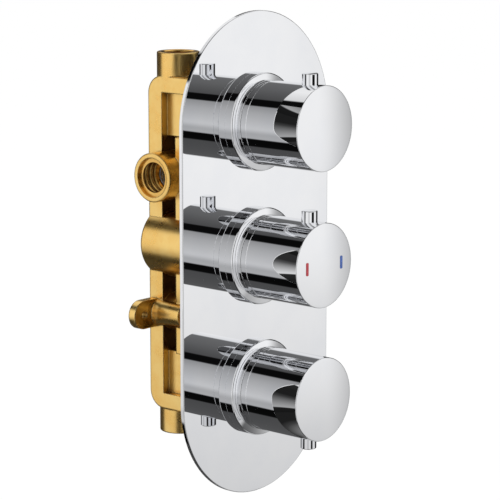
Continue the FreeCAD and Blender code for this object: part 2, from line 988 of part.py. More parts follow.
def moving_disc(height):
    axis = valve_axis(height)
    back = moving_disc_front + disc_thickness
    disc = cylinder(disc_radius, moving_disc_front, back, axis)
    for window in disc_windows(moving_disc_front, 0, height):
        disc = disc.cut(window)
    half_thick = tongue_thickness / 2 + slip_clearance
    half_wide = tongue_width / 2 + slip_clearance
    slot = block(
        (-half_thick, half_thick),
        (moving_disc_front - overcut, moving_disc_front + tongue_engagement),
        (height - half_wide, height + half_wide),
    )
    return disc.cut(slot)


def fixed_disc(height):
    axis = valve_axis(height)
    disc = cylinder(gland_bore_radius - slip_clearance, fixed_disc_front, gland_back, axis)
    tabs = block(
        (-disc_tab_reach, disc_tab_reach),
        (fixed_disc_front, gland_back),
        (height - disc_tab_width / 2, height + disc_tab_width / 2),
    )
    disc = disc.fuse(tabs)
    for window in disc_windows(fixed_disc_front, 90, height):
        disc = disc.cut(window)
    return disc.removeSplitter()


def seat_seal(height):
    inner = gland_bore_radius - seat_seal_width
    return tube(inner, gland_bore_radius, gland_back, flow_seat, valve_axis(height))


def flow_spindle(height):
    """Spindle that carries the knob at its front and turns the moving disc."""
    axis = valve_axis(height)
    flange_start = gland_thread_end + seam_gap
    flange_end = flange_start + spindle_flange_depth
    flange = cylinder(gland_bore_radius - piece_gap, flange_start, flange_end, axis)
    tongue = block(
        (-tongue_thickness / 2, tongue_thickness / 2),
        (flange_end, moving_disc_front + tongue_engagement - slip_clearance),
        (height - tongue_width / 2, height + tongue_width / 2),
    )
    return merged([spindle_front_end(height, flange_start), flange, tongue])


# --------------------------------------------------- thermostatic cartridge
MIDDLE = valve_axis(0)


def cartridge_windows(start, end):
    """Four openings through the cartridge wall, at the diagonals."""
    half = cartridge_window_width / 2
    reach = cartridge_radius + overcut
    windows = []
    for angle in (45, 135):
        window = block((-reach, reach), (start, end), (-half, half))
        window.rotate(V(0, 0, 0), Y_AXIS, angle)
        windows.append(window)
    return windows


def thermostat_body():
    """Cartridge shell with bands for mixed, cold and hot water."""
    outline = [
        (stem_bore_radius, neck_front),
        (neck_radius, neck_front),
        (neck_radius, cartridge_front),
        (cartridge_radius, cartridge_front),
        (cartridge_radius, cartridge_back),
        (cartridge_bore_radius, cartridge_back),
        (cartridge_bore_radius, cartridge_bore_start),
        (stem_bore_radius, cartridge_bore_start),
    ]
    shell = turned(outline, MIDDLE)
    outside = cartridge_radius + overcut
    cuts = [
        tube(band_radius, outside, start, end, MIDDLE)
        for start, end in (mixed_band, cold_band, hot_band)
    ]
    cuts += cartridge_windows(*mixed_window)
    cuts += cartridge_windows(cold_band[1] - cold_window_length, cold_band[1])
    cuts += cartridge_windows(hot_band[0], hot_band[0] + hot_window_length)
    groove_inner = cartridge_radius - small_oring_section
    reach = small_oring_section / 2 + oring_gap
    for depth in cartridge_oring_depths:
        cuts.append(tube(groove_inner, outside, depth - reach, depth + reach, MIDDLE))
    slot_reach = key_reach + slip_clearance
    slot_half = key_width / 2 + slip_clearance
    cuts.append(
        block(
            (-slot_reach, slot_reach),
            (cartridge_bore_start, key_slot_end),
            (-slot_half, slot_half),
        )
    )
    for cut in cuts:
        shell = shell.cut(cut)
    return shell.removeSplitter()


def thermostat_orings():
    radius = cartridge_radius + oring_gap - small_oring_section / 2
    rings = [torus(radius, small_oring_section, y, MIDDLE) for y in cartridge_oring_depths]
    return Part.makeCompound(rings)


def thermostat_nut():
    """Notched nut that clamps the cartridge into the middle socket."""
    root = nut_thread_radius - gland_thread_depth
    head_front = socket_front - nut_head_height
    thread_end = cartridge_front - slip_clearance
    outline = [(neck_radius + slip_clearance, head_front), (nut_radius, head_front)]
    outline += [(nut_radius, socket_front)]
    outline += thread_steps(
        nut_thread_radius, root, socket_front, thread_end, gland_thread_pitch
    )
    outline += [(neck_radius + slip_clearance, thread_end)]
    nut = turned(outline, MIDDLE)
    half = nut_notch_width / 2
    for angle in (0, 90):
        notch = block(
            (-nut_radius - overcut, nut_radius + overcut),
            (head_front - overcut, head_front + nut_notch_depth),
            (-half, half),
        )
        notch.rotate(V(0, 0, 0), Y_AXIS, angle)
        nut = nut.cut(notch)
    return nut


def temperature_spindle():
    """Knob spindle whose inner end is the adjusting screw."""
    flange = cylinder(
        temperature_flange_radius, adjusting_flange_front, adjusting_flange_back, MIDDLE
    )
    screw = cylinder(
        adjusting_thread_radius, adjusting_flange_back, adjusting_screw_end, MIDDLE
    )
    front = spindle_front_end(0, adjusting_flange_front)
    return merged([front, flange, screw])


def adjusting_slider():
    """Keyed nut that the adjusting screw moves along the cartridge."""
    bore = adjusting_thread_radius + running_clearance
    outline = [
        (bore, slider_front),
        (slider_core_radius, slider_front),
        (slider_core_radius, slider_back),
        (slider_pocket_radius, slider_back),
        (slider_pocket_radius, slider_pocket_front),
        (bore, slider_pocket_front),
    ]
    core = turned(outline, MIDDLE)
    half = key_width / 2
    guide_reach = cartridge_bore_radius - running_clearance
    keys = block((-key_reach, key_reach), (slider_front, slider_back), (-half, half))
    guides = block((-half, half), (slider_front, slider_back), (-guide_reach, guide_reach))
    guides = guides.common(cylinder(guide_reach, slider_front, slider_back, MIDDLE))
    inside = cylinder(slider_core_radius - weld_lap, slider_front, slider_back, MIDDLE)
    ribs = keys.fuse(guides).cut(inside)
    return core.fuse(ribs).removeSplitter()


def overload_spring():
    wire = overload_spring_wire
    mean = slider_pocket_radius - piece_gap - wire / 2
    end = wax_piston_back - wax_piston_length - wax_piston_head_depth
    return coil(mean, wire, slider_pocket_front, end, overload_spring_turns, MIDDLE)


def wax_piston():
    """Piston of the wax element, with the head that the spring backs."""
    head_back = wax_piston_back - wax_piston_length
    head_front = head_back - wax_piston_head_depth
    head = cylinder(slider_pocket_radius - piece_gap, head_front, head_back, MIDDLE)
    return head.fuse(cylinder(wax_piston_radius, head_back, wax_piston_back, MIDDLE))


def wax_element():
    """Wax capsule in the mixed stream, screwed into the sleeve's hub."""
    capsule = cylinder(wax_capsule_radius, wax_piston_back, spider_front, MIDDLE)
    rims = circle_edges(capsule, wax_capsule_radius, wax_piston_back, lambda centre: centre.y)
    capsule = capsule.makeChamfer(wax_edge, rims)
    stud = cylinder(wax_stud_radius, spider_front, spider_back + wax_edge, MIDDLE)
    return capsule.fuse(stud)


def regulating_sleeve():
    """Sleeve whose two edges meter the cold and the hot water."""
    outer = cartridge_bore_radius - running_clearance
    shell = tube(seat_ring_bore, outer, sleeve_front, sleeve_back, MIDDLE)
    hub_bore = wax_stud_radius + slip_clearance
    hub = tube(hub_bore, sleeve_hub_radius, spider_front, spider_back, MIDDLE)
    half = spider_arm_width / 2
    arm_span = (hub_bore + weld_lap, seat_ring_bore + weld_lap)
    pieces = [shell, hub]
    for angle in (0, 120, 240):
        arm = block(arm_span, (spider_front, spider_back), (-half, half))
        arm.rotate(V(0, 0, 0), Y_AXIS, angle)
        pieces.append(arm)
    return merged(pieces)


def cold_seat_ring():
    outer = cartridge_bore_radius - running_clearance
    return tube(seat_ring_bore, outer, cold_seat_front, cold_seat_back, MIDDLE)


def cartridge_end_plug():
    """Plug that closes the cartridge and carries the hot seat."""
    outer = cartridge_bore_radius - running_clearance
    outline = [
        (0, plug_pocket_floor),
        (plug_pocket_radius, plug_pocket_floor),
        (plug_pocket_radius, hot_seat),
        (outer, hot_seat),
        (outer, cartridge_back),
        (0, cartridge_back),
    ]
    return turned(outline, MIDDLE)


def return_spring():
    return coil(
        return_spring_radius,
        return_spring_wire,
        spider_back,
        plug_pocket_floor,
        return_spring_turns,
        MIDDLE,
    )


def temperature_stop_ring():
    """Ring gripped on the cartridge neck, whose lug stops the knob's turn."""
    inner = neck_radius + running_clearance
    ring = tube(inner, stop_ring_radius, neck_front, neck_front + stop_ring_depth, MIDDLE)
    swept = 2 * temperature_half_turn + stop_tab_angle + 2 * stop_spare_angle
    lug = sector(
        stop_lug_inner,
        stop_ring_radius,
        neck_front - stop_lug_depth,
        neck_front,
        270,
        360 - swept,
        0,
    )
    return ring.fuse(lug).removeSplitter()


# -------------------------------------------------------------- check valves
def check_body(side):
    """Seat, cage and stem guide of the check valve in one inlet."""
    axis = inlet_axis(side)
    cage_bore = check_radius - check_wall
    end_wall = check_inner + check_end_wall
    guide_end = end_wall + check_guide_length
    stem_bore = check_stem_radius + running_clearance
    screen_seat = check_outer - screen_thickness
    outline = [
        (stem_bore, check_inner),
        (check_radius, check_inner),
        (check_radius, check_outer),
        (screen_radius + slip_clearance, check_outer),
        (screen_radius + slip_clearance, screen_seat),
        (check_seat_bore, screen_seat),
        (check_seat_bore, check_seat),
        (cage_bore, check_seat),
        (cage_bore, end_wall),
        (check_guide_radius, end_wall),
        (check_guide_radius, guide_end),
        (stem_bore, guide_end),
    ]
    cage = turned(outline, axis)
    half = check_window_width / 2
    reach = check_radius + overcut
    near, far = sorted((side * end_wall, side * check_seat))
    openings = [
        block((near, far), (waterway_depth - reach, waterway_depth + reach),
              (inlet_height - half, inlet_height + half)),
        block((near, far), (waterway_depth - half, waterway_depth + half),
              (inlet_height - reach, inlet_height + reach)),
    ]
    core = cylinder(cage_bore - piece_gap, check_inner, check_outer, axis)
    for opening in openings:
        cage = cage.cut(opening.cut(core))
    return cage.removeSplitter()


def check_poppet(side):
    axis = inlet_axis(side)
    disc_outer = check_seat - piece_gap
    disc_inner = disc_outer - check_disc_thickness
    stem_end = check_inner + check_travel + piece_gap
    outline = [
        (0, stem_end),
        (check_stem_radius, stem_end),
        (check_stem_radius, disc_inner),
        (check_disc_radius, disc_inner),
        (check_disc_radius, disc_outer),
        (0, disc_outer),
    ]
    return turned(outline, axis)


def check_spring(side):
    mean = check_guide_radius + piece_gap + check_spring_wire / 2
    start = check_inner + check_end_wall
    end = check_seat - piece_gap - check_disc_thickness
    return coil(mean, check_spring_wire, start, end, check_spring_turns, inlet_axis(side))


def filter_screen(side):
    """Perforated disc in the mouth of a check valve."""
    axis = inlet_axis(side)
    screen = cylinder(screen_radius, check_outer - screen_thickness, check_outer, axis)
    reach = int(screen_radius / screen_hole_pitch)
    holes = []
    for row in range(-reach, reach + 1):
        for column in range(-reach, reach + 1):
            y = row * screen_hole_pitch
            z = column * screen_hole_pitch
            if math.hypot(y, z) + screen_hole_radius < screen_radius - screen_rim:
                base = V(0, waterway_depth + y, inlet_height + z)
                hole_axis = (base, V(side, 0, 0))
                end = check_outer + overcut
                holes.append(cylinder(screen_hole_radius, 0, end, hole_axis))
    return screen.cut(Part.makeCompound(holes))


# -------------------------------------------------------------------- output
def all_pieces():
    """Every node's name with its shape."""
    pieces = {
        "body_casting": body_casting(),
        "wall_plate": wall_plate(),
        "plate_seal": plate_seal(),
        "shroud_orings": shroud_orings(),
        "flange_orings": flange_orings(),
        "gland_orings": gland_orings(),
        "thermostat_body": thermostat_body(),
        "thermostat_nut": thermostat_nut(),
        "thermostat_orings": thermostat_orings(),
        "temperature_stop_ring": temperature_stop_ring(),
        "temperature_spindle": temperature_spindle(),
        "adjusting_slider": adjusting_slider(),
        "overload_spring": overload_spring(),
        "wax_piston": wax_piston(),
        "wax_element": wax_element(),
        "regulating_sleeve": regulating_sleeve(),
        "return_spring": return_spring(),
        "cold_seat_ring": cold_seat_ring(),
        "cartridge_end_plug": cartridge_end_plug(),
        "hot_mark": mark(-1),
        "cold_mark": mark(1),
        "filter_screens": Part.makeCompound([filter_screen(-1), filter_screen(1)]),
    }
    for name, height in valve_heights.items():
        pieces["shroud_" + name] = shroud(height)
        pieces["knob_shell_" + name] = knob_shell(name)
        pieces["knob_ring_" + name] = knob_ring(height)
        pieces["knob_pin_" + name] = knob_pin(name)
        pieces["knob_insert_" + name] = knob_insert(name)
        pieces["insert_screw_" + name] = insert_screw(height)
        pieces["grub_screw_" + name] = grub_screw(name)
    for name, height in flow_heights.items():
        pieces["flow_gland_" + name] = flow_gland(height)
        pieces["flow_spindle_" + name] = flow_spindle(height)
        pieces["moving_disc_" + name] = moving_disc(height)
        pieces["fixed_disc_" + name] = fixed_disc(height)
        pieces["seat_seal_" + name] = seat_seal(height)
    for name, side in (("hot", -1), ("cold", 1)):
        pieces["check_body_" + name] = check_body(side)
        pieces["check_poppet_" + name] = check_poppet(side)
        pieces["check_spring_" + name] = check_spring(side)
    return pieces


os.makedirs("parts", exist_ok=True)
for node, piece in all_pieces().items():
    piece.exportStep("parts/" + node + ".step")
    print(node, len(piece.Solids), round(piece.Volume, 1), piece.isValid())
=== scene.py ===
"""Looks of the concealed shower valve: mirror chrome outside, cast brass in the wall."""

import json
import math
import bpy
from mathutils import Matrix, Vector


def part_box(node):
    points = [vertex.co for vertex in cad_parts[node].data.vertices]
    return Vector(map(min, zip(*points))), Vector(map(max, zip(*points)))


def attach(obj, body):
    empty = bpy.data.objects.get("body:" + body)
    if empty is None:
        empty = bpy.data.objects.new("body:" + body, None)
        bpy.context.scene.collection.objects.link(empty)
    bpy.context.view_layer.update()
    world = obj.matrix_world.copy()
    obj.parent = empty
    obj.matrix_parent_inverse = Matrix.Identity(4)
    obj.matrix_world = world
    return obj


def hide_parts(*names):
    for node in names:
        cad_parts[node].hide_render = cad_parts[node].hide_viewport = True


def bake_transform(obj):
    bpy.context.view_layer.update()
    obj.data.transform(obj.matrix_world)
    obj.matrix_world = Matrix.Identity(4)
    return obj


bl_info = {
    "name": "Thermostatic shower valve",
    "version": (1, 0, 0),
    "blender": (4, 5, 0),
    "location": "View3D > Sidebar > Shower valve",
    "description": "Builds a shower valve with a chrome plate, three knobs and a brass body",
    "category": "Add Mesh",
}

import bmesh
import bpy
from mathutils import Vector
from mathutils.geometry import tessellate_polygon

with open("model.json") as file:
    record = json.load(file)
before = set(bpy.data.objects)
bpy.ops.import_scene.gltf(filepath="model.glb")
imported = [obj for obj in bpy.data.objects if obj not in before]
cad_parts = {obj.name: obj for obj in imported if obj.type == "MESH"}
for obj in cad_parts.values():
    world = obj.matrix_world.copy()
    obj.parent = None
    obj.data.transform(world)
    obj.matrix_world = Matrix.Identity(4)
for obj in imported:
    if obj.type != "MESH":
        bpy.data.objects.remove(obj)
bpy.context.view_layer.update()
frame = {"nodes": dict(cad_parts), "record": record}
BOXES = {node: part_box(node) for node in frame["nodes"]}

MM = 0.001
VALVE_STEP = 80 * MM  # from one valve's axis to the next
VALVES = ("top", "middle", "lower")
KNOB_BODIES = {"top": "top_knob", "middle": "temperature_knob", "lower": "lower_knob"}
PIN_SIDES = {"top": 1, "middle": 1, "lower": -1}  # 1 where the pin points up
WHITE = (1, 1, 1, 1)
PREFIX = "valve_"


def span(node, axis):
    """Lowest and highest place of a CAD node along one axis, in metres."""
    low, high = BOXES[node]
    return low[axis], high[axis]


def axis_height(valve):
    """Height of a valve's axis, from the ring of its knob."""
    low, high = span("knob_ring_" + valve, 2)
    return (low + high) / 2


def half_width(node):
    """Half of a CAD node's width, which is the radius of a round one."""
    low, high = span(node, 0)
    return (high - low) / 2


# ------------------------------------------------------------------ node trees
class Signal:
    """One output of a node. Arithmetic on it adds Math nodes to its tree."""

    def __init__(self, graph, socket):
        self.graph = graph
        self.socket = socket

    def __add__(self, other):
        return self.graph.maths("ADD", self, other)

    def __sub__(self, other):
        return self.graph.maths("SUBTRACT", self, other)

    def __rsub__(self, other):
        return self.graph.maths("SUBTRACT", other, self)

    def __mul__(self, other):
        return self.graph.maths("MULTIPLY", self, other)

    def __truediv__(self, other):
        return self.graph.maths("DIVIDE", self, other)

    def __gt__(self, other):
        return self.graph.maths("GREATER_THAN", self, other)

    def __lt__(self, other):
        return self.graph.maths("LESS_THAN", self, other)

    __radd__ = __add__
    __rmul__ = __mul__


class Graph:
    """Adds nodes to the tree of a material, of the world or of Geometry Nodes."""

    def __init__(self, tree):
        self.tree = tree
        tree.nodes.clear()

    def node(self, kind, settings=None, values=None, out=None):
        """A node of this type: first its settings, then what its sockets hold or are linked to."""
        made = self.tree.nodes.new(kind)
        for name, value in (settings or {}).items():
            if name == "stops":
                self.set_stops(made.color_ramp, value)
            else:
                setattr(made, name, value)
        for name, value in (values or {}).items():
            self.feed(self.pick(made.inputs, name), value)
        return Signal(self, self.pick(made.outputs, out)) if made.outputs else None

    def feed(self, socket, value):
        """Link a socket to a signal, or have it hold a plain value."""
        if isinstance(value, Signal):
            self.tree.links.new(value.socket, socket)
        else:
            socket.default_value = value

    def pick(self, sockets, name):
        """The socket in use that has this name, or the first one in use."""
        for socket in sockets:
            if socket.enabled and name in (None, socket.name):
                return socket
        raise KeyError(f"no socket named {name!r}")

    def set_stops(self, ramp, stops):
        """Give a colour ramp these (place, grey level or colour) stops."""
        while len(ramp.elements) < len(stops):
            ramp.elements.new(1.0)
        for element, (place, level) in zip(ramp.elements, stops):
            element.position = place
            element.color = level if isinstance(level, tuple) else (level, level, level, 1)

    def operate(self, kind, operation, values, out):
        """A node that works out an operation on its first sockets."""
        made = self.tree.nodes.new(kind)
        made.operation = operation
        for socket, value in zip(made.inputs, values):
            self.feed(socket, value)
        return Signal(self, made.outputs[out])

    def maths(self, operation, *values):
        return self.operate("ShaderNodeMath", operation, values, 0)

    def vector_maths(self, operation, first, second, out="Vector"):
        return self.operate("ShaderNodeVectorMath", operation, (first, second), out)

    def coordinate(self, vector, axis):
        """How far a vector goes along one axis."""
        return self.node("ShaderNodeSeparateXYZ", None, {"Vector": vector}, axis)

    def mix(self, factor, low, high):
        """From colour low to colour high."""
        values = {"Factor": factor, "A": low, "B": high}
        return self.node("ShaderNodeMix", {"data_type": "RGBA"}, values, "Result")

    def fade(self, value, start, end, low=0.0, high=1.0):
        """A smooth step of value from start to end."""
        settings = {"interpolation_type": "SMOOTHSTEP"}
        values = {"Value": value, "From Min": start, "From Max": end, "To Min": low, "To Max": high}
        return self.node("ShaderNodeMapRange", settings, values, "Result")

    def noise(self, place, scale, detail=2.0, roughness=0.5):
        """Clouds between 0 and 1. A higher detail and roughness give them finer grain."""
        values = {"Vector": place, "Scale": scale, "Detail": detail, "Roughness": roughness}
        return self.node("ShaderNodeTexNoise", None, values, "Fac")

    def cells(self, place, scale):
        """Distance from the middle of the nearest cell."""
        values = {"Vector": place, "Scale": scale}
        return self.node("ShaderNodeTexVoronoi", {"feature": "F1"}, values, "Distance")

    def stretched(self, place, scale):
        """Object coordinates scaled by a different amount along each axis."""
        return self.node("ShaderNodeMapping", None, {"Vector": place, "Scale": scale}, "Vector")

    def bump(self, height, distance, normal=None):
        values = {"Height": height, "Distance": distance, "Strength": 1.0}
        if normal is not None:
            values["Normal"] = normal
        return self.node("ShaderNodeBump", None, values, "Normal")


def rgb(colour):
    return (colour[0], colour[1], colour[2], 1.0)


def scaled(colour, red, green, blue):
    """A colour with each of its channels turned down or up."""
    return (colour[0] * red, colour[1] * green, colour[2] * blue, 1.0)


# ------------------------------------------------------------------- materials
def start_material(name):
    """The empty graph of a new material, whose prefix keeps it apart from the frame's own."""
    material = bpy.data.materials.new(PREFIX + name)
    material.use_nodes = True
    return Graph(material.node_tree)


def start_finish(name):
    """The graph of a new material, and the place on the piece that its pattern reads."""
    graph = start_material(name)
    return graph, graph.node("ShaderNodeTexCoord", out="Object")


def surface(graph, colour, roughness, normal=None, metallic=0.0):
    """Ends a material's tree in a Principled BSDF."""
    values = {"Base Color": colour, "Roughness": roughness, "Metallic": metallic}
    if normal is not None:
        values["Normal"] = normal
    shader = graph.node("ShaderNodeBsdfPrincipled", None, values, "BSDF")
    graph.node("ShaderNodeOutputMaterial", None, {"Surface": shader})


def hollow(graph, reach):
    """1 deep in a hollow or a corner of the piece itself, 0 on an open face: where the brass gets
    painted shade.
    """
    settings = {"samples": 8, "only_local": True}
    open_share = graph.node("ShaderNodeAmbientOcclusion", settings, {"Distance": reach}, "AO")
    return graph.fade(open_share, 0.7, 0.15)


def mirror_chrome(finish):
    """Plated and buffed chrome: a clean mirror with a breath of haze and wipe marks."""
    graph, place = start_finish("mirror_chrome")
    haze = graph.noise(place, 28.0, 4.0, 0.6)
    wiped = graph.noise(graph.stretched(place, (30.0, 30.0, 420.0)), 1.0, 3.0, 0.6)
    worn = scaled(finish.chrome_colour, 0.965, 0.97, 0.98)
    colour = graph.mix(graph.fade(haze, 0.35, 0.7), rgb(finish.chrome_colour), worn)
    rough = 0.002 + graph.fade(haze, 0.4, 0.8) * 0.012 + graph.fade(wiped, 0.55, 0.8) * 0.014
    surface(graph, colour, rough, metallic=1.0)


def cast_brass(finish):
    """Sand-cast brass that was tumbled and polished: soft edges, a faint orange peel, and painted
    shade in its hollows and corners.
    """
    graph, place = start_finish("polished_brass")
    painted_shade = hollow(graph, 7 * MM)
    soft = graph.node("ShaderNodeBevel", {"samples": 6}, {"Radius": 1.1 * MM}, "Normal")
    flat = graph.node("ShaderNodeNewGeometry", out="Normal")
    edge = graph.fade(graph.vector_maths("DOT_PRODUCT", soft, flat, "Value"), 0.995, 0.86)
    cloud = graph.noise(place, 70.0, 4.0, 0.6)
    peel = graph.noise(place, 520.0, 3.0, 0.55)
    pits = graph.noise(place, 1500.0)
    gold = graph.mix(graph.fade(cloud, 0.3, 0.72), rgb(finish.brass_deep), rgb(finish.brass_colour))
    colour = graph.mix(edge * 0.55, gold, rgb(finish.brass_bright))
    # painted shade: the brass darkens towards its shaded colour deep in hollows and corners
    colour = graph.mix(painted_shade * 0.85, colour, rgb(finish.brass_shade))
    rough = 0.24 + cloud * 0.08 + graph.fade(pits, 0.6, 0.8) * 0.12 - edge * 0.06 + painted_shade * 0.2
    height = peel * 0.6 - graph.fade(pits, 0.62, 0.8) * 0.35
    normal = graph.bump(height, 0.035 * MM, soft)
    surface(graph, colour, rough, normal, 1.0)


def cast_skin(finish):
    """Walls inside the casting's window that no wheel reaches: rough and grainy, in a painted shade
    of dark brown.
    """
    graph, place = start_finish("cast_skin")
    grain = graph.noise(place, 900.0, 4.0, 0.6)
    cloud = graph.noise(place, 120.0, 3.0, 0.6)
    warm = scaled(finish.brass_shade, 2.2, 2.0, 1.6)
    colour = graph.mix(graph.fade(cloud, 0.3, 0.75), rgb(finish.brass_shade), warm)
    rough = 0.32 + grain * 0.2
    normal = graph.bump(grain, 0.06 * MM)
    surface(graph, colour, rough, normal, 0.8)


def machined_brass(finish):
    """Turned brass with fine tool lines, dull down in the threads, with painted shade in the
    threads and hollows.
    """
    graph, place = start_finish("machined_brass")
    groove = graph.node("ShaderNodeAttribute", {"attribute_name": "groove"}, None, "Fac")
    painted_shade = graph.maths("MAXIMUM", hollow(graph, 6 * MM), groove)
    lines = graph.noise(graph.stretched(place, (2600.0, 900.0, 2600.0)), 1.0)
    stain = graph.noise(place, 160.0, 3.0, 0.6)
    gold = graph.mix(stain, scaled(finish.brass_deep, 0.72, 0.66, 0.6), rgb(finish.brass_deep))
    # painted shade: darker down in the thread grooves and in hollows
    gold = graph.mix(painted_shade * 0.9, gold, rgb(finish.brass_shade))
    rough = 0.16 + lines * 0.12 + painted_shade * 0.2
    normal = graph.bump(lines, 0.01 * MM)
    surface(graph, gold, rough, normal, 1.0)


def steel(name, level, roughness, grain):
    """Drawn or pressed stainless steel with a fine grain along Z."""
    graph, place = start_finish(name)
    drawn = graph.noise(graph.stretched(place, (grain, grain, grain / 12)), 1.0, 3.0, 0.6)
    grey = (level, level, level)
    tone = graph.mix(drawn, scaled(grey, 0.86, 0.87, 0.88), rgb(grey))
    rough = roughness + drawn * 0.14
    normal = graph.bump(drawn, 0.006 * MM)
    surface(graph, tone, rough, normal, 1.0)


def black_rubber(finish):
    """Moulded nitrile rubber with a dusty bloom."""
    graph, place = start_finish("black_rubber")
    bloom = graph.noise(place, 240.0, 4.0, 0.6)
    dusty = (0.05, 0.05, 0.052, 1)
    colour = graph.mix(graph.fade(bloom, 0.4, 0.8), rgb(finish.rubber_colour), dusty)
    normal = graph.bump(graph.noise(place, 2600.0), 0.02 * MM)
    surface(graph, colour, 0.42 + bloom * 0.2, normal)


def white_foam(finish):
    """Closed-cell foam strip: small cells of two sizes, shaded in their hollows."""
    graph, place = start_finish("white_foam_seal")
    large = graph.fade(graph.cells(place, 1500.0), 0.0, 0.45)
    small = graph.fade(graph.cells(place, 3400.0), 0.0, 0.5)
    walls = large * 0.7 + small * 0.3
    colour = graph.mix(walls, scaled(finish.foam_colour, 0.7, 0.7, 0.68), rgb(finish.foam_colour))
    normal = graph.bump(walls, 0.12 * MM)
    surface(graph, colour, 0.82, normal)


def moulded_plastic(name, colour):
    """Injection-moulded acetal: waxy, slightly mottled, faint flow lines."""
    graph, place = start_finish(name)
    mottle = graph.noise(place, 300.0, 3.0, 0.6)
    flow = graph.noise(graph.stretched(place, (900.0, 120.0, 900.0)), 1.0)
    tone = graph.mix(mottle, scaled(colour, 0.88, 0.88, 0.86), rgb(colour))
    normal = graph.bump(flow, 0.01 * MM)
    surface(graph, tone, 0.34 + flow * 0.16, normal)


def alumina(finish):
    """Lapped ceramic: a dense ivory white with a fine speckle."""
    graph, place = start_finish("alumina_ceramic")
    speckle = graph.noise(place, 2200.0)
    shade = scaled(finish.ceramic_colour, 0.9, 0.9, 0.88)
    colour = graph.mix(graph.fade(speckle, 0.3, 0.7), shade, rgb(finish.ceramic_colour))
    surface(graph, colour, 0.16 + speckle * 0.1)


def enamel(name, colour):
    """Coloured enamel filled into the knob's face, glossy and a little uneven."""
    graph, place = start_finish(name)
    pooled = graph.noise(place, 900.0)
    tone = graph.mix(graph.fade(pooled, 0.3, 0.7), scaled(colour, 0.72, 0.72, 0.72), rgb(colour))
    normal = graph.bump(pooled, 0.02 * MM)
    surface(graph, tone, 0.22 + pooled * 0.1, normal)


def make_materials(finish):
    """Every finish of the valve, named after the record's material slot."""
    mirror_chrome(finish)
    cast_brass(finish)
    machined_brass(finish)
    cast_skin(finish)
    black_rubber(finish)
    white_foam(finish)
    alumina(finish)
    for name, level, roughness, grain in (
        ("satin_steel", 0.17, 0.4, 900.0),
        ("stainless_steel", 0.62, 0.2, 2400.0),
        ("spring_steel", 0.5, 0.16, 3600.0),
    ):
        steel(name, level, roughness, grain)
    moulded_plastic("white_acetal", (0.8, 0.8, 0.77))
    moulded_plastic("grey_acetal", (0.3, 0.31, 0.32))
    enamel("red_enamel", finish.hot_colour)
    enamel("blue_enamel", finish.cold_colour)


def material_of(slot):
    """The material made for a slot; all are made the first time one is asked for."""
    name = PREFIX + slot
    if name not in bpy.data.materials:
        make_materials(bpy.context.scene.valve_finishes)
    return bpy.data.materials[name]


# ---------------------------------------------------------------- mesh helpers
def rounded(points, arc_steps=6):
    """An outline of (radius, depth, corner radius) points with its corners rounded."""
    path = []
    count = len(points)
    for place, (x, y, size) in enumerate(points):
        here = Vector((x, y))
        if size == 0:
            path.append((x, y))
            continue
        toward = (Vector(points[place - 1][:2]) - here).normalized()
        away = (Vector(points[(place + 1) % count][:2]) - here).normalized()
        half = toward.angle(away) / 2
        centre = here + (toward + away).normalized() * (size / math.sin(half))
        start = here + toward * (size / math.tan(half)) - centre
        end = here + away * (size / math.tan(half)) - centre
        first = math.atan2(start.y, start.x)
        turn = math.atan2(end.y, end.x) - first
        turn = (turn + math.pi) % (2 * math.pi) - math.pi
        for step in range(arc_steps + 1):
            angle = first + turn * step / arc_steps
            path.append((centre.x + size * math.cos(angle), centre.y + size * math.sin(angle)))
    return path


def new_object(name, mesh):
    made = bpy.data.objects.new(name, mesh)
    bpy.context.scene.collection.objects.link(made)
    return made


def tidy_mesh(mesh, merge=1e-6):
    """Merge doubles and point the faces of a closed mesh outwards."""
    work = bmesh.new()
    work.from_mesh(mesh)
    bmesh.ops.remove_doubles(work, verts=work.verts, dist=merge)
    bmesh.ops.dissolve_degenerate(work, edges=work.edges, dist=merge / 10)
    bmesh.ops.recalc_face_normals(work, faces=work.faces)
    work.to_mesh(mesh)
    work.free()


def shade(mesh, degrees):
    """Smooth shading that keeps edges sharper than this angle."""
    mesh.polygons.foreach_set("use_smooth", [True] * len(mesh.polygons))
    mesh.set_sharp_from_angle(angle=math.radians(degrees))


def place_piece(piece, body, replaced=()):
    """Finish a piece: the CAD body it moves with and the nodes it stands for."""
    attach(piece, body)
    if replaced:
        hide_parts(*replaced)


def apply_modifier(piece, modifier):
    """Keep what a modifier makes of a piece as its plain mesh."""
    evaluated = piece.evaluated_get(bpy.context.evaluated_depsgraph_get())
    mesh = bpy.data.meshes.new_from_object(evaluated)
    piece.modifiers.remove(modifier)
    piece.data = mesh


def keep_flat(piece, weight=50):
    """Weight a piece's normals by face size, so that its large faces shade dead flat."""
    modifier = piece.modifiers.new("even shading", "WEIGHTED_NORMAL")
    modifier.keep_sharp = True
    modifier.weight = weight
    apply_modifier(piece, modifier)


def closed_piece(name, vertices, faces, degrees, *slots):
    """A piece of these faces, smooth at edges below this angle, with a material for each slot."""
    mesh = bpy.data.meshes.new(name)
    mesh.from_pydata(vertices, [], faces)
    tidy_mesh(mesh)
    shade(mesh, degrees)
    for slot in slots:
        mesh.materials.append(material_of(slot))
    return new_object(name, mesh)


def line_mesh(name, points):
    """A mesh of points in order, for a Geometry Nodes tree to read."""
    mesh = bpy.data.meshes.new(name)
    mesh.from_pydata([(p[0], p[1], p[2] if len(p) > 2 else 0.0) for p in points], [], [])
    return mesh


def grow(name, tree, start, values):
    """Run a Geometry Nodes tree on a start mesh and keep its result as a plain piece."""
    seed = new_object(name + "_seed", start)
    modifier = seed.modifiers.new("grow", "NODES")
    modifier.node_group = tree
    for item in tree.interface.items_tree:
        if item.item_type == "SOCKET" and item.in_out == "INPUT" and item.name in values:
            modifier[item.identifier] = values[item.name]
    apply_modifier(seed, modifier)
    mesh = seed.data
    bpy.data.objects.remove(seed)
    mesh.name = name
    tidy_mesh(mesh)
    return new_object(name, mesh)


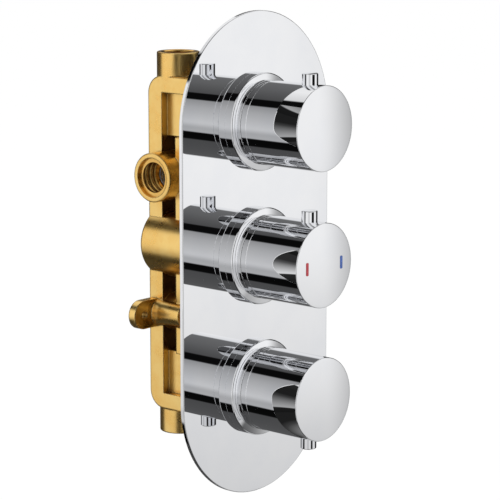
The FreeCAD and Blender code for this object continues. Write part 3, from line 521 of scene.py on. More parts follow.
def start_tree(name, inputs):
    """A Geometry Nodes tree with named inputs. Returns its graph and its inputs as signals."""
    tree = bpy.data.node_groups.new(name, "GeometryNodeTree")
    tree.interface.new_socket("Start", in_out="INPUT", socket_type="NodeSocketGeometry")
    for label, kind in inputs.items():
        tree.interface.new_socket(label, in_out="INPUT", socket_type="NodeSocket" + kind)
    tree.interface.new_socket("Piece", in_out="OUTPUT", socket_type="NodeSocketGeometry")
    graph = Graph(tree)
    source = tree.nodes.new("NodeGroupInput")
    signals = {label: Signal(graph, source.outputs[label]) for label in ["Start", *inputs]}
    return graph, signals


def end_tree(graph, geometry, sharp, finish):
    """Sharp edges by angle, real geometry and one material at the end of a tree."""
    smooth = graph.node("GeometryNodeSetShadeSmooth", {"domain": "FACE"}, {"Geometry": geometry})
    corner = graph.node("GeometryNodeInputMeshEdgeAngle", out="Unsigned Angle") > sharp
    values = {"Geometry": smooth, "Selection": corner, "Shade Smooth": False}
    crisp = graph.node("GeometryNodeSetShadeSmooth", {"domain": "EDGE"}, values)
    real = graph.node("GeometryNodeRealizeInstances", None, {"Geometry": crisp})
    dressed = graph.node("GeometryNodeSetMaterial", None, {"Geometry": real, "Material": finish})
    graph.node("NodeGroupOutput", None, {"Piece": dressed})
    return graph.tree


# Places on a thread's flank, as shares of its pitch from the middle of the groove
THREAD_ROOT = 0.06
THREAD_CREST = 0.36


def turned_tree():
    """Turns the start mesh's (radius, depth) points about an axis, with a screw thread if asked."""
    if "turned_piece" in bpy.data.node_groups:
        return bpy.data.node_groups["turned_piece"]
    graph, given = start_tree(
        "turned_piece",
        {
            "Segments": "Int",
            "Axis place": "Vector",
            "Axis turn": "Vector",
            "Thread pitch": "Float",
            "Thread depth": "Float",
            "Thread start": "Float",
            "Thread end": "Float",
            "Thread crest": "Float",
            "Sharp angle": "Float",
            "Finish": "Material",
        },
    )
    start = given["Start"]
    size = {"Geometry": start}
    count = graph.node("GeometryNodeAttributeDomainSize", None, size, "Point Count")
    around = given["Segments"] + 1
    rows = {"Vertices X": count, "Vertices Y": around}
    sheet = graph.node("GeometryNodeMeshGrid", None, rows, "Mesh")
    index = graph.node("GeometryNodeInputIndex", out="Index")
    ring = graph.maths("FLOOR", (index + 0.5) / around)
    step = index - ring * around
    position = graph.node("GeometryNodeInputPosition", out="Position")
    point = graph.node(
        "GeometryNodeSampleIndex",
        {"data_type": "FLOAT_VECTOR", "domain": "POINT"},
        {"Geometry": start, "Value": position, "Index": ring},
        "Value",
    )
    radius = graph.coordinate(point, "X")
    depth = graph.coordinate(point, "Y")
    turn = step / given["Segments"]
    phase = graph.maths("FRACT", depth / given["Thread pitch"] - turn)
    off_middle = graph.maths("ABSOLUTE", phase - 0.5)
    groove = graph.fade(off_middle, THREAD_ROOT, THREAD_CREST, 1.0, 0.0)
    half_pitch = given["Thread pitch"] * 0.5
    thread_start = given["Thread start"]
    thread_end = given["Thread end"]
    run_in = graph.fade(depth, thread_start, thread_start + half_pitch)
    run_out = 1 - graph.fade(depth, thread_end - half_pitch, thread_end)
    inside = radius < given["Thread crest"]
    cut = groove * run_in * run_out * inside * given["Thread depth"]
    angle = turn * (2 * math.pi)
    reach = radius + cut
    across = reach * graph.maths("COSINE", angle)
    up = reach * graph.maths("SINE", angle)
    place = graph.node("ShaderNodeCombineXYZ", None, {"X": across, "Y": depth, "Z": up})
    skin = graph.node("GeometryNodeSetPosition", None, {"Geometry": sheet, "Position": place})
    deep = cut / graph.maths("MAXIMUM", given["Thread depth"], 1e-6)
    named = graph.node(
        "GeometryNodeStoreNamedAttribute",
        {"data_type": "FLOAT", "domain": "POINT"},
        {"Geometry": skin, "Name": "groove", "Value": deep},
    )
    closed = graph.node("GeometryNodeMergeByDistance", None, {"Geometry": named, "Distance": 1e-6})
    moved = {"Translation": given["Axis place"], "Rotation": given["Axis turn"]}
    stood = graph.node("GeometryNodeTransform", None, {"Geometry": closed, **moved})
    return end_tree(graph, stood, given["Sharp angle"], given["Finish"])


def turned(
    name, outline, height, slot, segments=192, turn=(0.0, 0.0, 0.0), place=None, thread=None
):
    """A turned piece about an axis that runs along Y unless it is turned."""
    values = {
        "Segments": segments,
        "Axis place": place or (0.0, 0.0, height),
        "Axis turn": turn,
        "Thread pitch": 1.0,
        "Thread depth": 0.0,
        "Thread start": 0.0,
        "Thread end": 1.0,
        "Thread crest": 0.0,
        "Sharp angle": math.radians(32),
        "Finish": material_of(slot),
    }
    values.update(thread or {})
    piece = grow(name, turned_tree(), line_mesh(name + "_outline", outline), values)
    if not thread:
        keep_flat(piece)
    return piece


def ring_tree():
    """A round ring about Y at every point of the start mesh, such as a set of O-rings."""
    if "ring_set" in bpy.data.node_groups:
        return bpy.data.node_groups["ring_set"]
    graph, given = start_tree(
        "ring_set",
        {
            "Ring radius": "Float",
            "Section radius": "Float",
            "Sharp angle": "Float",
            "Finish": "Material",
        },
    )
    circles = []
    for radius, steps in (("Ring radius", 96), ("Section radius", 20)):
        values = {"Resolution": steps, "Radius": given[radius]}
        circles.append(
            graph.node("GeometryNodeCurvePrimitiveCircle", {"mode": "RADIUS"}, values, "Curve")
        )
    values = {"Curve": circles[0], "Profile Curve": circles[1]}
    ring = graph.node("GeometryNodeCurveToMesh", None, values, "Mesh")
    values = {"Geometry": ring, "Rotation": (math.pi / 2, 0.0, 0.0)}
    upright = graph.node("GeometryNodeTransform", None, values)
    values = {"Points": given["Start"], "Instance": upright}
    rings = graph.node("GeometryNodeInstanceOnPoints", None, values)
    real = graph.node("GeometryNodeRealizeInstances", None, {"Geometry": rings})
    return end_tree(graph, real, given["Sharp angle"], given["Finish"])


def smooth_copy(node, name):
    """A merged and smoothly shaded copy of a CAD node's mesh."""
    source = frame["nodes"][node].data
    places = [vertex.co[:] for vertex in source.vertices]
    mesh = bpy.data.meshes.new(name)
    mesh.from_pydata(places, [], [face.vertices[:] for face in source.polygons])
    tidy_mesh(mesh, 2e-6)
    shade(mesh, 28)
    return new_object(name, mesh)


# ------------------------------------------------------------ sizes and colours
def length(name, description, default):
    """A length property in metres, given in millimetres."""
    return bpy.props.FloatProperty(
        name=name,
        description=description,
        default=default * MM,
        min=0.0,
        unit="LENGTH",
        precision=5,
    )


def tint(name, description, default):
    """A colour property."""
    return bpy.props.FloatVectorProperty(
        name=name,
        description=description,
        default=default,
        min=0.0,
        max=1.0,
        size=3,
        subtype="COLOR",
    )


def spot(name, description, default):
    """A place in the scene, in metres."""
    return bpy.props.FloatVectorProperty(
        name=name,
        description=description,
        default=default,
        size=3,
        subtype="TRANSLATION",
        unit="LENGTH",
    )


class ValvePlateSizes(bpy.types.PropertyGroup):
    edge_round: length("Edge rounding", "Radius of the plate's front rim", 0.5)
    back_round: length("Back rounding", "Radius of the plate's back rim", 0.15)
    hole_radius: length("Hole radius", "Radius of the three holes", 22.3)
    seal_inset: length("Seal inset", "Distance of the seal's channel from the rim", 5.0)
    seal_width: length("Seal width", "Width of the seal's channel", 4.0)
    seal_depth: length("Seal depth", "Depth of the seal's channel", 1.2)


class ValveKnobSizes(bpy.types.PropertyGroup):
    face_round: length("Face rounding", "Radius of the rim round a knob's face", 0.45)
    mark_relief: length("Mark relief", "How far the marks stand off the face", 0.04)
    face_crown: length("Face crown", "How far a knob's face falls back towards its rim", 0.4)
    seam_round: length("Seam rounding", "Radius of the rims where ring and shell meet", 0.3)
    shell_wall: length("Shell wall", "Thickness of a knob's side", 2.0)
    face_wall: length("Face wall", "Thickness of a knob's face", 2.4)
    hub_radius: length("Hub radius", "Outer radius of the hub inside a knob", 9.0)
    hub_length: length("Hub length", "Length of the hub inside a knob", 30.0)
    hub_bore_radius: length("Hub bore radius", "Radius of the hub's bore", 6.5)
    hub_bore_depth: length("Hub bore depth", "Depth of the hub's bore", 24.0)
    ring_bore_radius: length("Ring bore radius", "Inner radius of a knob's base ring", 20.5)
    ring_spigot: length("Ring spigot", "Depth of the ring's spigot inside the shell", 2.5)
    pin_radius: length("Pin radius", "Radius of the pin on a knob", 4.75)
    pin_round: length("Pin rounding", "Radius of the rim of a pin's end", 0.6)
    pin_head_radius: length("Pin head radius", "Radius of the pin's head inside the shell", 6.0)
    pin_head_depth: length("Pin head depth", "Thickness of the pin's head", 2.0)


class ValveShroudSizes(bpy.types.PropertyGroup):
    flange_round: length("Flange rounding", "Radius of the flange's front rim", 0.9)
    flange_slope: length("Flange slope", "How far a flange's front falls back to its rim", 0.6)
    foot_groove: length("Foot groove", "Depth of the groove where a collar meets its flange", 0.45)
    flange_depth: length("Flange depth", "How far a flange stands off the plate", 6.0)
    bore_radius: length("Bore radius", "Inner radius of a shroud", 17.4)
    tube_radius: length("Tube radius", "Outer radius of the tube behind the plate", 22.0)
    groove_depth: length("Groove depth", "Depth of the O-ring grooves", 1.6)


class ValveBodySizes(bpy.types.PropertyGroup):
    crest_radius: length("Thread crest radius", "Minor radius of the pipe threads", 9.32)
    root_radius: length("Thread root radius", "Major radius of the pipe threads", 10.48)
    sleeve_radius: length("Sleeve radius", "Outer radius of a threaded mouth's lining", 11.0)
    thread_pitch: length("Thread pitch", "Distance from one thread to the next", 4.0)


class ValveFinishes(bpy.types.PropertyGroup):
    chrome_colour: tint("Chrome", "Colour of the plated pieces", (0.86, 0.865, 0.88))
    brass_colour: tint("Brass", "Colour of the casting's skin", (1.0, 0.70, 0.25))
    brass_deep: tint("Deep brass", "Colour of the casting's darker clouds", (0.93, 0.58, 0.17))
    brass_bright: tint("Bright brass", "Colour of polished edges and cut faces", (0.98, 0.76, 0.38))
    brass_shade: tint("Shaded brass", "Colour of brass down in hollows", (0.085, 0.036, 0.006))
    rubber_colour: tint("Rubber", "Colour of the O-rings", (0.012, 0.012, 0.013))
    foam_colour: tint("Foam", "Colour of the seal behind the plate", (0.8, 0.8, 0.78))
    ceramic_colour: tint("Ceramic", "Colour of the ceramic discs", (0.82, 0.8, 0.74))
    hot_colour: tint("Hot mark", "Colour of the mark for hotter water", (0.5, 0.045, 0.06))
    cold_colour: tint("Cold mark", "Colour of the mark for colder water", (0.06, 0.13, 0.42))


class ValveStudio(bpy.types.PropertyGroup):
    camera_place: spot("Camera place", "Where the camera stands", (-1.0301, -0.9024, 0.2604))
    camera_target: spot("Camera target", "Middle of the frame", (-0.00394, 0.0, 0.00318))
    camera_lens: bpy.props.FloatProperty(
        name="Focal length",
        description="Focal length of the camera in millimetres",
        default=168.7,
        min=10.0,
    )
    floor_height: bpy.props.FloatProperty(
        name="Floor height",
        description="Height of the pale floor",
        default=-0.42,
        unit="LENGTH",
    )
    soft_light: bpy.props.FloatProperty(
        name="Soft light",
        description="Strength of the light from all round",
        default=0.8,
        min=0.0,
    )


SETTINGS = {
    "valve_plate": ValvePlateSizes,
    "valve_knobs": ValveKnobSizes,
    "valve_shrouds": ValveShroudSizes,
    "valve_body": ValveBodySizes,
    "valve_finishes": ValveFinishes,
    "valve_studio": ValveStudio,
}


# ------------------------------------------------------------------ wall plate
def stadium_loop(inset, depth, steps=72):
    """Points round the plate's outline, moved in by an inset, at one depth."""
    low, high = BOXES["wall_plate"]
    radius = (high.x - low.x) / 2 - inset
    straight = (high.z - low.z) / 2 - (high.x - low.x) / 2
    points = []
    for step in range(2 * steps + 2):
        lower = step > steps
        angle = math.pi * (step - lower) / steps
        height = -straight if lower else straight
        points.append((radius * math.cos(angle), depth, radius * math.sin(angle) + height))
    return points


def circle_loop(radius, depth, height, steps=96):
    """Points round a hole, at one depth."""
    points = []
    for step in range(steps):
        angle = 2 * math.pi * step / steps
        points.append((radius * math.cos(angle), depth, height + radius * math.sin(angle)))
    return points


def skin_loops(vertices, faces, loops, closed=False):
    """Join loops of equal length by strips of faces. Returns each loop's start and length."""
    count = len(loops[0])
    starts = []
    for loop in loops:
        starts.append(len(vertices))
        vertices += loop
    pairs = list(zip(starts, starts[1:]))
    if closed:
        pairs.append((starts[-1], starts[0]))
    for first, second in pairs:
        for step in range(count):
            after = (step + 1) % count
            faces.append((first + step, first + after, second + after, second + step))
    return [(start, count) for start in starts]


def fill_between(vertices, faces, rim, holes):
    """Flat face from an outer loop to its holes, each given as (start, length)."""
    order = []
    loops = []
    for start, count in [rim, *holes]:
        order += range(start, start + count)
        loops.append([Vector((x, z, 0)) for x, y, z in vertices[start : start + count]])
    for triangle in tessellate_polygon(loops):
        faces.append(tuple(order[corner] for corner in triangle))


def rim_arc(size, depth, inset_way, depth_way, steps=6):
    """(inset, depth) places along a quarter round between a face and a side."""
    places = []
    for step in range(steps + 1):
        angle = math.pi / 2 * step / steps
        inset = size * (1 - math.sin(angle))
        fall = size * (1 - math.cos(angle))
        places.append((inset * inset_way, depth + fall * depth_way))
    return places


class VALVE_OT_wall_plate(bpy.types.Operator):
    """Mirror plate with rounded rims, three holes and a channel for its seal"""

    bl_idname = "shower_valve.wall_plate"
    bl_label = "Wall plate"

    def execute(self, context):
        sizes = context.scene.valve_plate
        front, back = span("wall_plate", 1)
        outer = sizes.seal_inset
        inner = sizes.seal_inset + sizes.seal_width
        floor = back - sizes.seal_depth
        places = rim_arc(sizes.edge_round, front, 1, 1)
        places += reversed(rim_arc(sizes.back_round, back, 1, -1))
        places += [(outer, back), (outer, floor), (inner, floor), (inner, back)]
        vertices = []
        faces = []
        rims = skin_loops(vertices, faces, [stadium_loop(*place) for place in places])
        hole = rim_arc(sizes.back_round, front, -1, 1)
        hole += reversed(rim_arc(sizes.back_round, back, -1, -1))
        front_holes = []
        back_holes = []
        for valve in VALVES:
            height = axis_height(valve)
            loops = [circle_loop(sizes.hole_radius - inset, depth, height) for inset, depth in hole]
            hole_rims = skin_loops(vertices, faces, loops)
            front_holes.append(hole_rims[0])
            back_holes.append(hole_rims[-1])
        fill_between(vertices, faces, rims[0], front_holes)
        fill_between(vertices, faces, rims[-1], back_holes)
        plate = closed_piece("mirror_plate", vertices, faces, 40, "mirror_chrome", "satin_steel")
        for face in plate.data.polygons:
            face.material_index = int(face.normal.y > 0.9)
        keep_flat(plate)
        place_piece(plate, "valve", ["wall_plate"])
        return {"FINISHED"}


# --------------------------------------------------------------------- shrouds
FLANGE_SEAL_RADIUS = 25.2 * MM
FLANGE_SEAL_HALF = 0.8 * MM
RING_SLACK = 0.05 * MM


class VALVE_OT_shrouds(bpy.types.Operator):
    """Flange, collar and tube round each valve, with the grooves for their O-rings"""

    bl_idname = "shower_valve.shrouds"
    bl_label = "Shrouds"

    def execute(self, context):
        sizes = context.scene.valve_shrouds
        plate_front = span("wall_plate", 1)[0]
        flange_front = plate_front - sizes.flange_depth
        rings_front, rings_back = span("shroud_orings", 1)
        bore = sizes.bore_radius
        bottom = bore + sizes.groove_depth
        seal_floor = span("flange_orings", 1)[0] - RING_SLACK
        seal_low = FLANGE_SEAL_RADIUS - FLANGE_SEAL_HALF
        seal_high = FLANGE_SEAL_RADIUS + FLANGE_SEAL_HALF
        for valve in VALVES:
            node = "shroud_" + valve
            collar_front, tail = span(node, 1)
            flange = half_width(node)
            collar = half_width("knob_ring_" + valve)
            outline = rounded(
                [
                    (bore, collar_front, 0.3 * MM),
                    (collar, collar_front, 0.25 * MM),
                    (collar, flange_front - sizes.foot_groove, 0.1 * MM),
                    (collar - sizes.foot_groove, flange_front - sizes.foot_groove / 2, 0),
                    (collar, flange_front, 0.1 * MM),
                    (flange, flange_front + sizes.flange_slope, sizes.flange_round),
                    (flange, plate_front, 0.12 * MM),
                    (seal_high, plate_front, 0),
                    (seal_high, seal_floor, 0),
                    (seal_low, seal_floor, 0),
                    (seal_low, plate_front, 0),
                    (sizes.tube_radius, plate_front, 0),
                    (sizes.tube_radius, tail, 0.4 * MM),
                    (bore, tail, 0.3 * MM),
                    (bore, rings_back + RING_SLACK, 0),
                    (bottom, rings_back + RING_SLACK, 0),
                    (bottom, rings_front - RING_SLACK, 0),
                    (bore, rings_front - RING_SLACK, 0),
                ],
                12,
            )
            outline.append(outline[0])
            piece = turned("chrome_shroud_" + valve, outline, axis_height(valve), "mirror_chrome")
            place_piece(piece, "valve", [node])
        return {"FINISHED"}


# ----------------------------------------------------------------------- knobs
CROWN_STEPS = 13


def shell_outline(sizes, face, back, radius):
    """Half section of a knob's shell: a crowned face, the side and the hub inside."""
    floor = face + sizes.face_wall
    hub_back = floor + sizes.hub_length
    inner = radius - sizes.shell_wall
    crown = []
    for step in range(CROWN_STEPS):
        share = step / CROWN_STEPS
        crown.append((radius * share, face + sizes.face_crown * share * share, 0))
    return rounded(
        [
            *crown,
            (radius, face + sizes.face_crown, sizes.face_round),
            (radius, back, sizes.seam_round),
            (inner, back, 0.1 * MM),
            (inner, floor, 1.2 * MM),
            (sizes.hub_radius, floor, 1.0 * MM),
            (sizes.hub_radius, hub_back, 0.3 * MM),
            (sizes.hub_bore_radius, hub_back, 0.3 * MM),
            (sizes.hub_bore_radius, hub_back - sizes.hub_bore_depth, 0),
            (0.0, hub_back - sizes.hub_bore_depth, 0),
        ]
    )


class VALVE_OT_knobs(bpy.types.Operator):
    """Shell, base ring and pin of each knob"""

    bl_idname = "shower_valve.knobs"
    bl_label = "Knobs"

    def execute(self, context):
        sizes = context.scene.valve_knobs
        for valve in VALVES:
            height = axis_height(valve)
            body = KNOB_BODIES[valve]
            radius = half_width("knob_ring_" + valve)
            ring_end, ring_back = span("knob_ring_" + valve, 1)
            ring_front = ring_end + sizes.ring_spigot
            face = span("knob_shell_" + valve, 1)[0] + sizes.mark_relief
            outline = shell_outline(sizes, face, ring_front, radius)
            shell = turned("chrome_knob_" + valve, outline, height, "mirror_chrome", 256)
            self.drill(shell, valve)
            place_piece(shell, body, ["knob_shell_" + valve])
            spigot = radius - sizes.shell_wall - 0.1 * MM
            outline = rounded(
                [
                    (sizes.ring_bore_radius, ring_back, 0.3 * MM),
                    (radius, ring_back, 0.25 * MM),
                    (radius, ring_front, sizes.seam_round),
                    (spigot, ring_front, 0),
                    (spigot, ring_end, 0.2 * MM),
                    (sizes.ring_bore_radius, ring_end, 0.2 * MM),
                ]
            )
            outline.append(outline[0])
            ring = turned("chrome_ring_" + valve, outline, height, "mirror_chrome", 256)
            place_piece(ring, body, ["knob_ring_" + valve])
            self.pin(sizes, valve, height, body)
        return {"FINISHED"}

    def drill(self, shell, valve):
        """Cut the grub screw's hole through the shell and the hub."""
        grub_low, grub_high = span("grub_screw_" + valve, 1)
        place = (0.0, (grub_low + grub_high) / 2, axis_height(valve))
        downwards = (math.pi / 2, 0.0, 0.0)
        radius = (grub_high - grub_low) / 2 + 0.06 * MM
        bottom = -30 * MM
        outline = [(0.0, bottom), (radius, bottom), (radius, 0.0), (0.0, 0.0)]
        cutter = turned(
            "grub_hole_" + valve, outline, 0.0, "mirror_chrome", 48, downwards, place
        )
        cut = shell.modifiers.new("grub screw hole", "BOOLEAN")
        cut.operation = "DIFFERENCE"
        cut.object = cutter
        cut.solver = "EXACT"
        apply_modifier(shell, cut)
        shade(shell.data, 32)
        keep_flat(shell)
        bpy.data.objects.remove(cutter)

    def pin(self, sizes, valve, height, body):
        """The pin's axis is upright; it points up or down."""
        node = "knob_pin_" + valve
        low, high = span(node, 2)
        side = PIN_SIDES[valve]
        reach = (high - height) if side > 0 else (height - low)
        head = (low - height) if side > 0 else (height - high)
        depth_low, depth_high = span(node, 1)
        outline = rounded(
            [
                (0.0, head, 0),
                (sizes.pin_head_radius, head, 0.2 * MM),
                (sizes.pin_head_radius, head + sizes.pin_head_depth, 0.2 * MM),
                (sizes.pin_radius, head + sizes.pin_head_depth, 0),
                (sizes.pin_radius, reach, sizes.pin_round),
                (0.0, reach, 0),
            ]
        )
        turn = (math.pi / 2 * side, 0.0, 0.0)
        place = (0.0, (depth_low + depth_high) / 2, height)
        piece = turned("chrome_pin_" + valve, outline, height, "mirror_chrome", 128, turn, place)
        place_piece(piece, body, [node])


# ----------------------------------------------------------------------- marks
MARK_WIDTH = 1.45  # a mark's width, as a share of the CAD's
MARK_STEPS = 12
MARK_END = 0.6  # how far a mark's round ends reach, as a share of half its width
MARK_TOP = (0.8, 0.97)  # width and height of a mark's raised face, as a share of its foot's


class VALVE_OT_marks(bpy.types.Operator):
    """Red and blue enamel bars in the temperature knob's face"""

    bl_idname = "shower_valve.marks"
    bl_label = "Temperature marks"

    def execute(self, context):
        bevel = 0.015 * MM
        for node, slot in (("hot_mark", "red_enamel"), ("cold_mark", "blue_enamel")):
            low, high = BOXES[node]
            half = (high.x - low.x) / 2 * MARK_WIDTH
            middle = (high.x + low.x) / 2
            reach = half * MARK_END
            outline = []
            for end, first in ((high.z - reach, 0.0), (low.z + reach, math.pi)):
                for step in range(MARK_STEPS + 1):
                    angle = first + math.pi * step / MARK_STEPS
                    outline.append((half * math.cos(angle), end + reach * math.sin(angle)))
            loops = [
                [(middle + x, high.y, z) for x, z in outline],
                [(middle + x, low.y + bevel, z) for x, z in outline],
                [(middle + x * MARK_TOP[0], low.y, z * MARK_TOP[1]) for x, z in outline],
            ]
            vertices = []
            faces = []
            rims = skin_loops(vertices, faces, loops)
            for start, count in (rims[0], rims[-1]):
                faces.append(tuple(range(start, start + count)))
            mark = closed_piece("enamel_" + node, vertices, faces, 50, slot)
            place_piece(mark, "temperature_knob", [node])
        return {"FINISHED"}


# ------------------------------------------------------------------ brass body
# (middle of the mouth, way out of it, how far in its lining starts and how long that is in
# millimetres, whether the lining starts with a cone)
MOUTHS = {
    "hot_inlet": ((-0.024, 0.061, 0.0425), (-1, 0, 0), 2.0, 12.6, False),
    "cold_inlet": ((0.024, 0.061, 0.0425), (1, 0, 0), 2.0, 12.6, False),
    "top_outlet": ((0.0, 0.061, 0.117), (0, 0, 1), 0.0, 14.4, True),
    "bottom_outlet": ((0.0, 0.061, -0.118), (0, 0, -1), 0.0, 14.4, True),
}
# The last slot is painted shade for the walls inside the window.
CASTING_SLOTS = ("polished_brass", "machined_brass", "cast_skin")
MACHINED = CASTING_SLOTS.index("machined_brass")
WINDOW_SHADE = CASTING_SLOTS.index("cast_skin")
MOUTH_CUT_DEPTH = 25 * MM
MOUTH_CUT_RADIUS = 12.2 * MM
BORE_CUT_RADIUS = 14.4 * MM
WINDOW_FRONT = 51.5 * MM
WINDOW_BACK = 63.5 * MM
WINDOW_HALF_WIDTH = 12.9 * MM
WINDOW_HALF_HEIGHT = 67 * MM
LINING_STEP = 0.15 * MM
CONE_DEPTH = 1.0 * MM
THREAD_START = 1.05 * MM  # just behind the cone


class VALVE_OT_body(bpy.types.Operator):
    """Cast brass body with its four threaded mouths"""

    bl_idname = "shower_valve.body"
    bl_label = "Cast brass body"

    def execute(self, context):
        sizes = context.scene.valve_body
        casting = smooth_copy("body_casting", "brass_casting")
        keep_flat(casting, 80)
        self.open_mouths(casting.data, sizes)
        for slot in CASTING_SLOTS:
            casting.data.materials.append(material_of(slot))
        self.mark_machined(casting.data)
        place_piece(casting, "valve", ["body_casting"])
        for name, (mouth, way, inset, reach, cone) in MOUTHS.items():
            self.lining(sizes, name, Vector(mouth), Vector(way), inset * MM, reach * MM, cone)
        return {"FINISHED"}

    def open_mouths(self, mesh, sizes):
        """Widen each pipe bore in the casting to take its threaded lining."""
        slack = 0.02 * MM
        for mouth, way, inset, reach, cone in MOUTHS.values():
            end = Vector(mouth)
            axis = Vector(way)
            widest = sizes.root_radius if cone else sizes.crest_radius
            for vertex in mesh.vertices:
                offset = vertex.co - end
                along = -offset.dot(axis) - inset * MM
                across = offset - axis * offset.dot(axis)
                if -slack < along < reach * MM + slack:
                    if sizes.crest_radius - slack < across.length < widest + slack:
                        vertex.co += across * (sizes.sleeve_radius / across.length - 1)

    def in_window(self, face):
        """The flat walls of the window that goes through the frame, front, back and ends."""
        centre = face.center
        flat = max(abs(face.normal.y), abs(face.normal.z)) > 0.999
        deep = WINDOW_FRONT < centre.y < WINDOW_BACK
        within = abs(centre.x) < WINDOW_HALF_WIDTH and abs(centre.z) < WINDOW_HALF_HEIGHT
        return flat and deep and within

    def mark_machined(self, mesh):
        """Bores, counterbores and mouth faces were cut after casting."""
        heights = [axis_height(valve) for valve in VALVES]
        for face in mesh.polygons:
            centre = face.center
            for mouth, way, *_ in MOUTHS.values():
                offset = centre - Vector(mouth)
                along = -offset.dot(Vector(way))
                across = (offset + Vector(way) * along).length
                if -1e-5 < along < MOUTH_CUT_DEPTH and across < MOUTH_CUT_RADIUS:
                    face.material_index = MACHINED
            for height in heights:
                across = math.hypot(centre.x, centre.z - height)
                inward = (centre.x * face.normal.x + (centre.z - height) * face.normal.z) / across
                if across < BORE_CUT_RADIUS and inward < -0.97:
                    face.material_index = MACHINED
            # The window's flat walls get the painted shade.
            if self.in_window(face):
                face.material_index = WINDOW_SHADE

    def lining(self, sizes, name, mouth, way, start, reach, cone):
        """Threaded inside of one pipe mouth. Its outline runs inwards from the mouth."""
        end = start + reach
        crest = sizes.crest_radius
        outline = []
        first = start
        if cone:
            outline += [(sizes.root_radius, start), (crest, start + CONE_DEPTH)]
            first = start + THREAD_START
        steps = int((end - start) / LINING_STEP)
        for step in range(steps + 1):
            outline.append((crest, first + (end - first) * step / steps))
        outline += [(sizes.sleeve_radius, end), (sizes.sleeve_radius, start)]
        outline.append(outline[0])
        turn = Vector((0, 1, 0)).rotation_difference(-way).to_euler()
        thread = {
            "Thread pitch": sizes.thread_pitch,
            "Thread depth": sizes.root_radius - crest,
            "Thread start": first,
            "Thread end": end,
            "Thread crest": crest + 0.01 * MM,
            "Sharp angle": math.radians(50),
        }
        piece = turned(
            "thread_" + name, outline, 0.0, "machined_brass", 120, tuple(turn), tuple(mouth), thread
        )
        place_piece(piece, "valve")


# ----------------------------------------------------------------------- seals
FOAM_SLACK = 0.1 * MM  # between the foam strip and each side of its channel
FOAM_CROWN = 0.35 * MM
RING_GAP = 0.6 * MM  # points of one O-ring lie closer together in depth than this


class VALVE_OT_seals(bpy.types.Operator):
    """Foam strip in the plate's back and the sets of O-rings"""

    bl_idname = "shower_valve.seals"
    bl_label = "Seals"

    def execute(self, context):
        self.foam(context.scene.valve_plate)
        for node in ("shroud_orings", "flange_orings", "gland_orings", "thermostat_orings"):
            self.ring_set(node)
        return {"FINISHED"}

    def foam(self, sizes):
        """A strip with a crowned back, which bulges a little between its edges."""
        front, back = span("plate_seal", 1)
        outer = sizes.seal_inset + FOAM_SLACK
        width = sizes.seal_width - 2 * FOAM_SLACK
        places = [(outer + width, front), (outer, front)]
        for step in range(11):
            share = step / 10
            fall = (2 * share - 1) ** 4
            places.append((outer + width * share, back - FOAM_CROWN * fall))
        vertices = []
        faces = []
        skin_loops(vertices, faces, [stadium_loop(*place) for place in places], True)
        strip = closed_piece("foam_strip", vertices, faces, 45, "white_foam_seal")
        place_piece(strip, "valve", ["plate_seal"])

    def ring_set(self, node):
        """Rings of one size, at the centres of the CAD node's separate rings."""
        heights = [axis_height(valve) for valve in VALVES]
        clouds = {}
        for vertex in frame["nodes"][node].data.vertices:
            nearest = min(heights, key=lambda z: abs(z - vertex.co.z))
            clouds.setdefault(nearest, []).append(vertex.co.copy())
        centres = []
        for height, cloud in clouds.items():
            depths = sorted(v.y for v in cloud)
            groups = [[depths[0]]]
            for depth in depths[1:]:
                if depth - groups[-1][-1] > RING_GAP:
                    groups.append([])
                groups[-1].append(depth)
            for group in groups:
                centres.append((0.0, (group[0] + group[-1]) / 2, height))
                section = (group[-1] - group[0]) / 2
            outer = max(math.hypot(v.x, v.z - height) for v in cloud)
        values = {
            "Ring radius": outer - section,
            "Section radius": section,
            "Sharp angle": math.radians(60),
            "Finish": material_of("black_rubber"),
        }
        rings = grow("rubber_" + node, ring_tree(), line_mesh(node + "_centres", centres), values)
        place_piece(rings, "valve", [node])


# --------------------------------------------------------------------- springs
# (body that the moving end follows, axis along the spring, whether that end is the high one)
SPRINGS = {
    "check_spring_hot": ("hot_check", 0, False),
    "check_spring_cold": ("cold_check", 0, True),
    "return_spring": ("thermostat_slider", 1, False),
}


class VALVE_OT_springs(bpy.types.Operator):
    """Coil springs between their fixed seat and the piece that presses on them"""

    bl_idname = "shower_valve.springs"
    bl_label = "Springs"

    def execute(self, context):
        for node, (body, axis, moving_high) in SPRINGS.items():
            low, high = BOXES[node]
            spring = smooth_copy(node, "coil_" + node)
            spring.data.materials.append(material_of("spring_steel"))
            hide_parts(node)
            start = (low + high) / 2
            end = start.copy()
            start[axis], end[axis] = low[axis], high[axis]
            if not moving_high:
                start, end = end, start
            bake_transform(spring)
        return {"FINISHED"}


# ---------------------------------------------------------------- inner pieces
class VALVE_OT_inner_pieces(bpy.types.Operator):
    """Finishes on the cartridges, check valves, inserts and screws inside"""

    bl_idname = "shower_valve.inner_pieces"
    bl_label = "Inner pieces"

    def execute(self, context):
        for part in frame["record"]["subparts"]:
            node = frame["nodes"][part["node"]]
            if not node.hide_render:
                node.data.materials.clear()
                node.data.materials.append(material_of(part["material_slot"]))
        return {"FINISHED"}


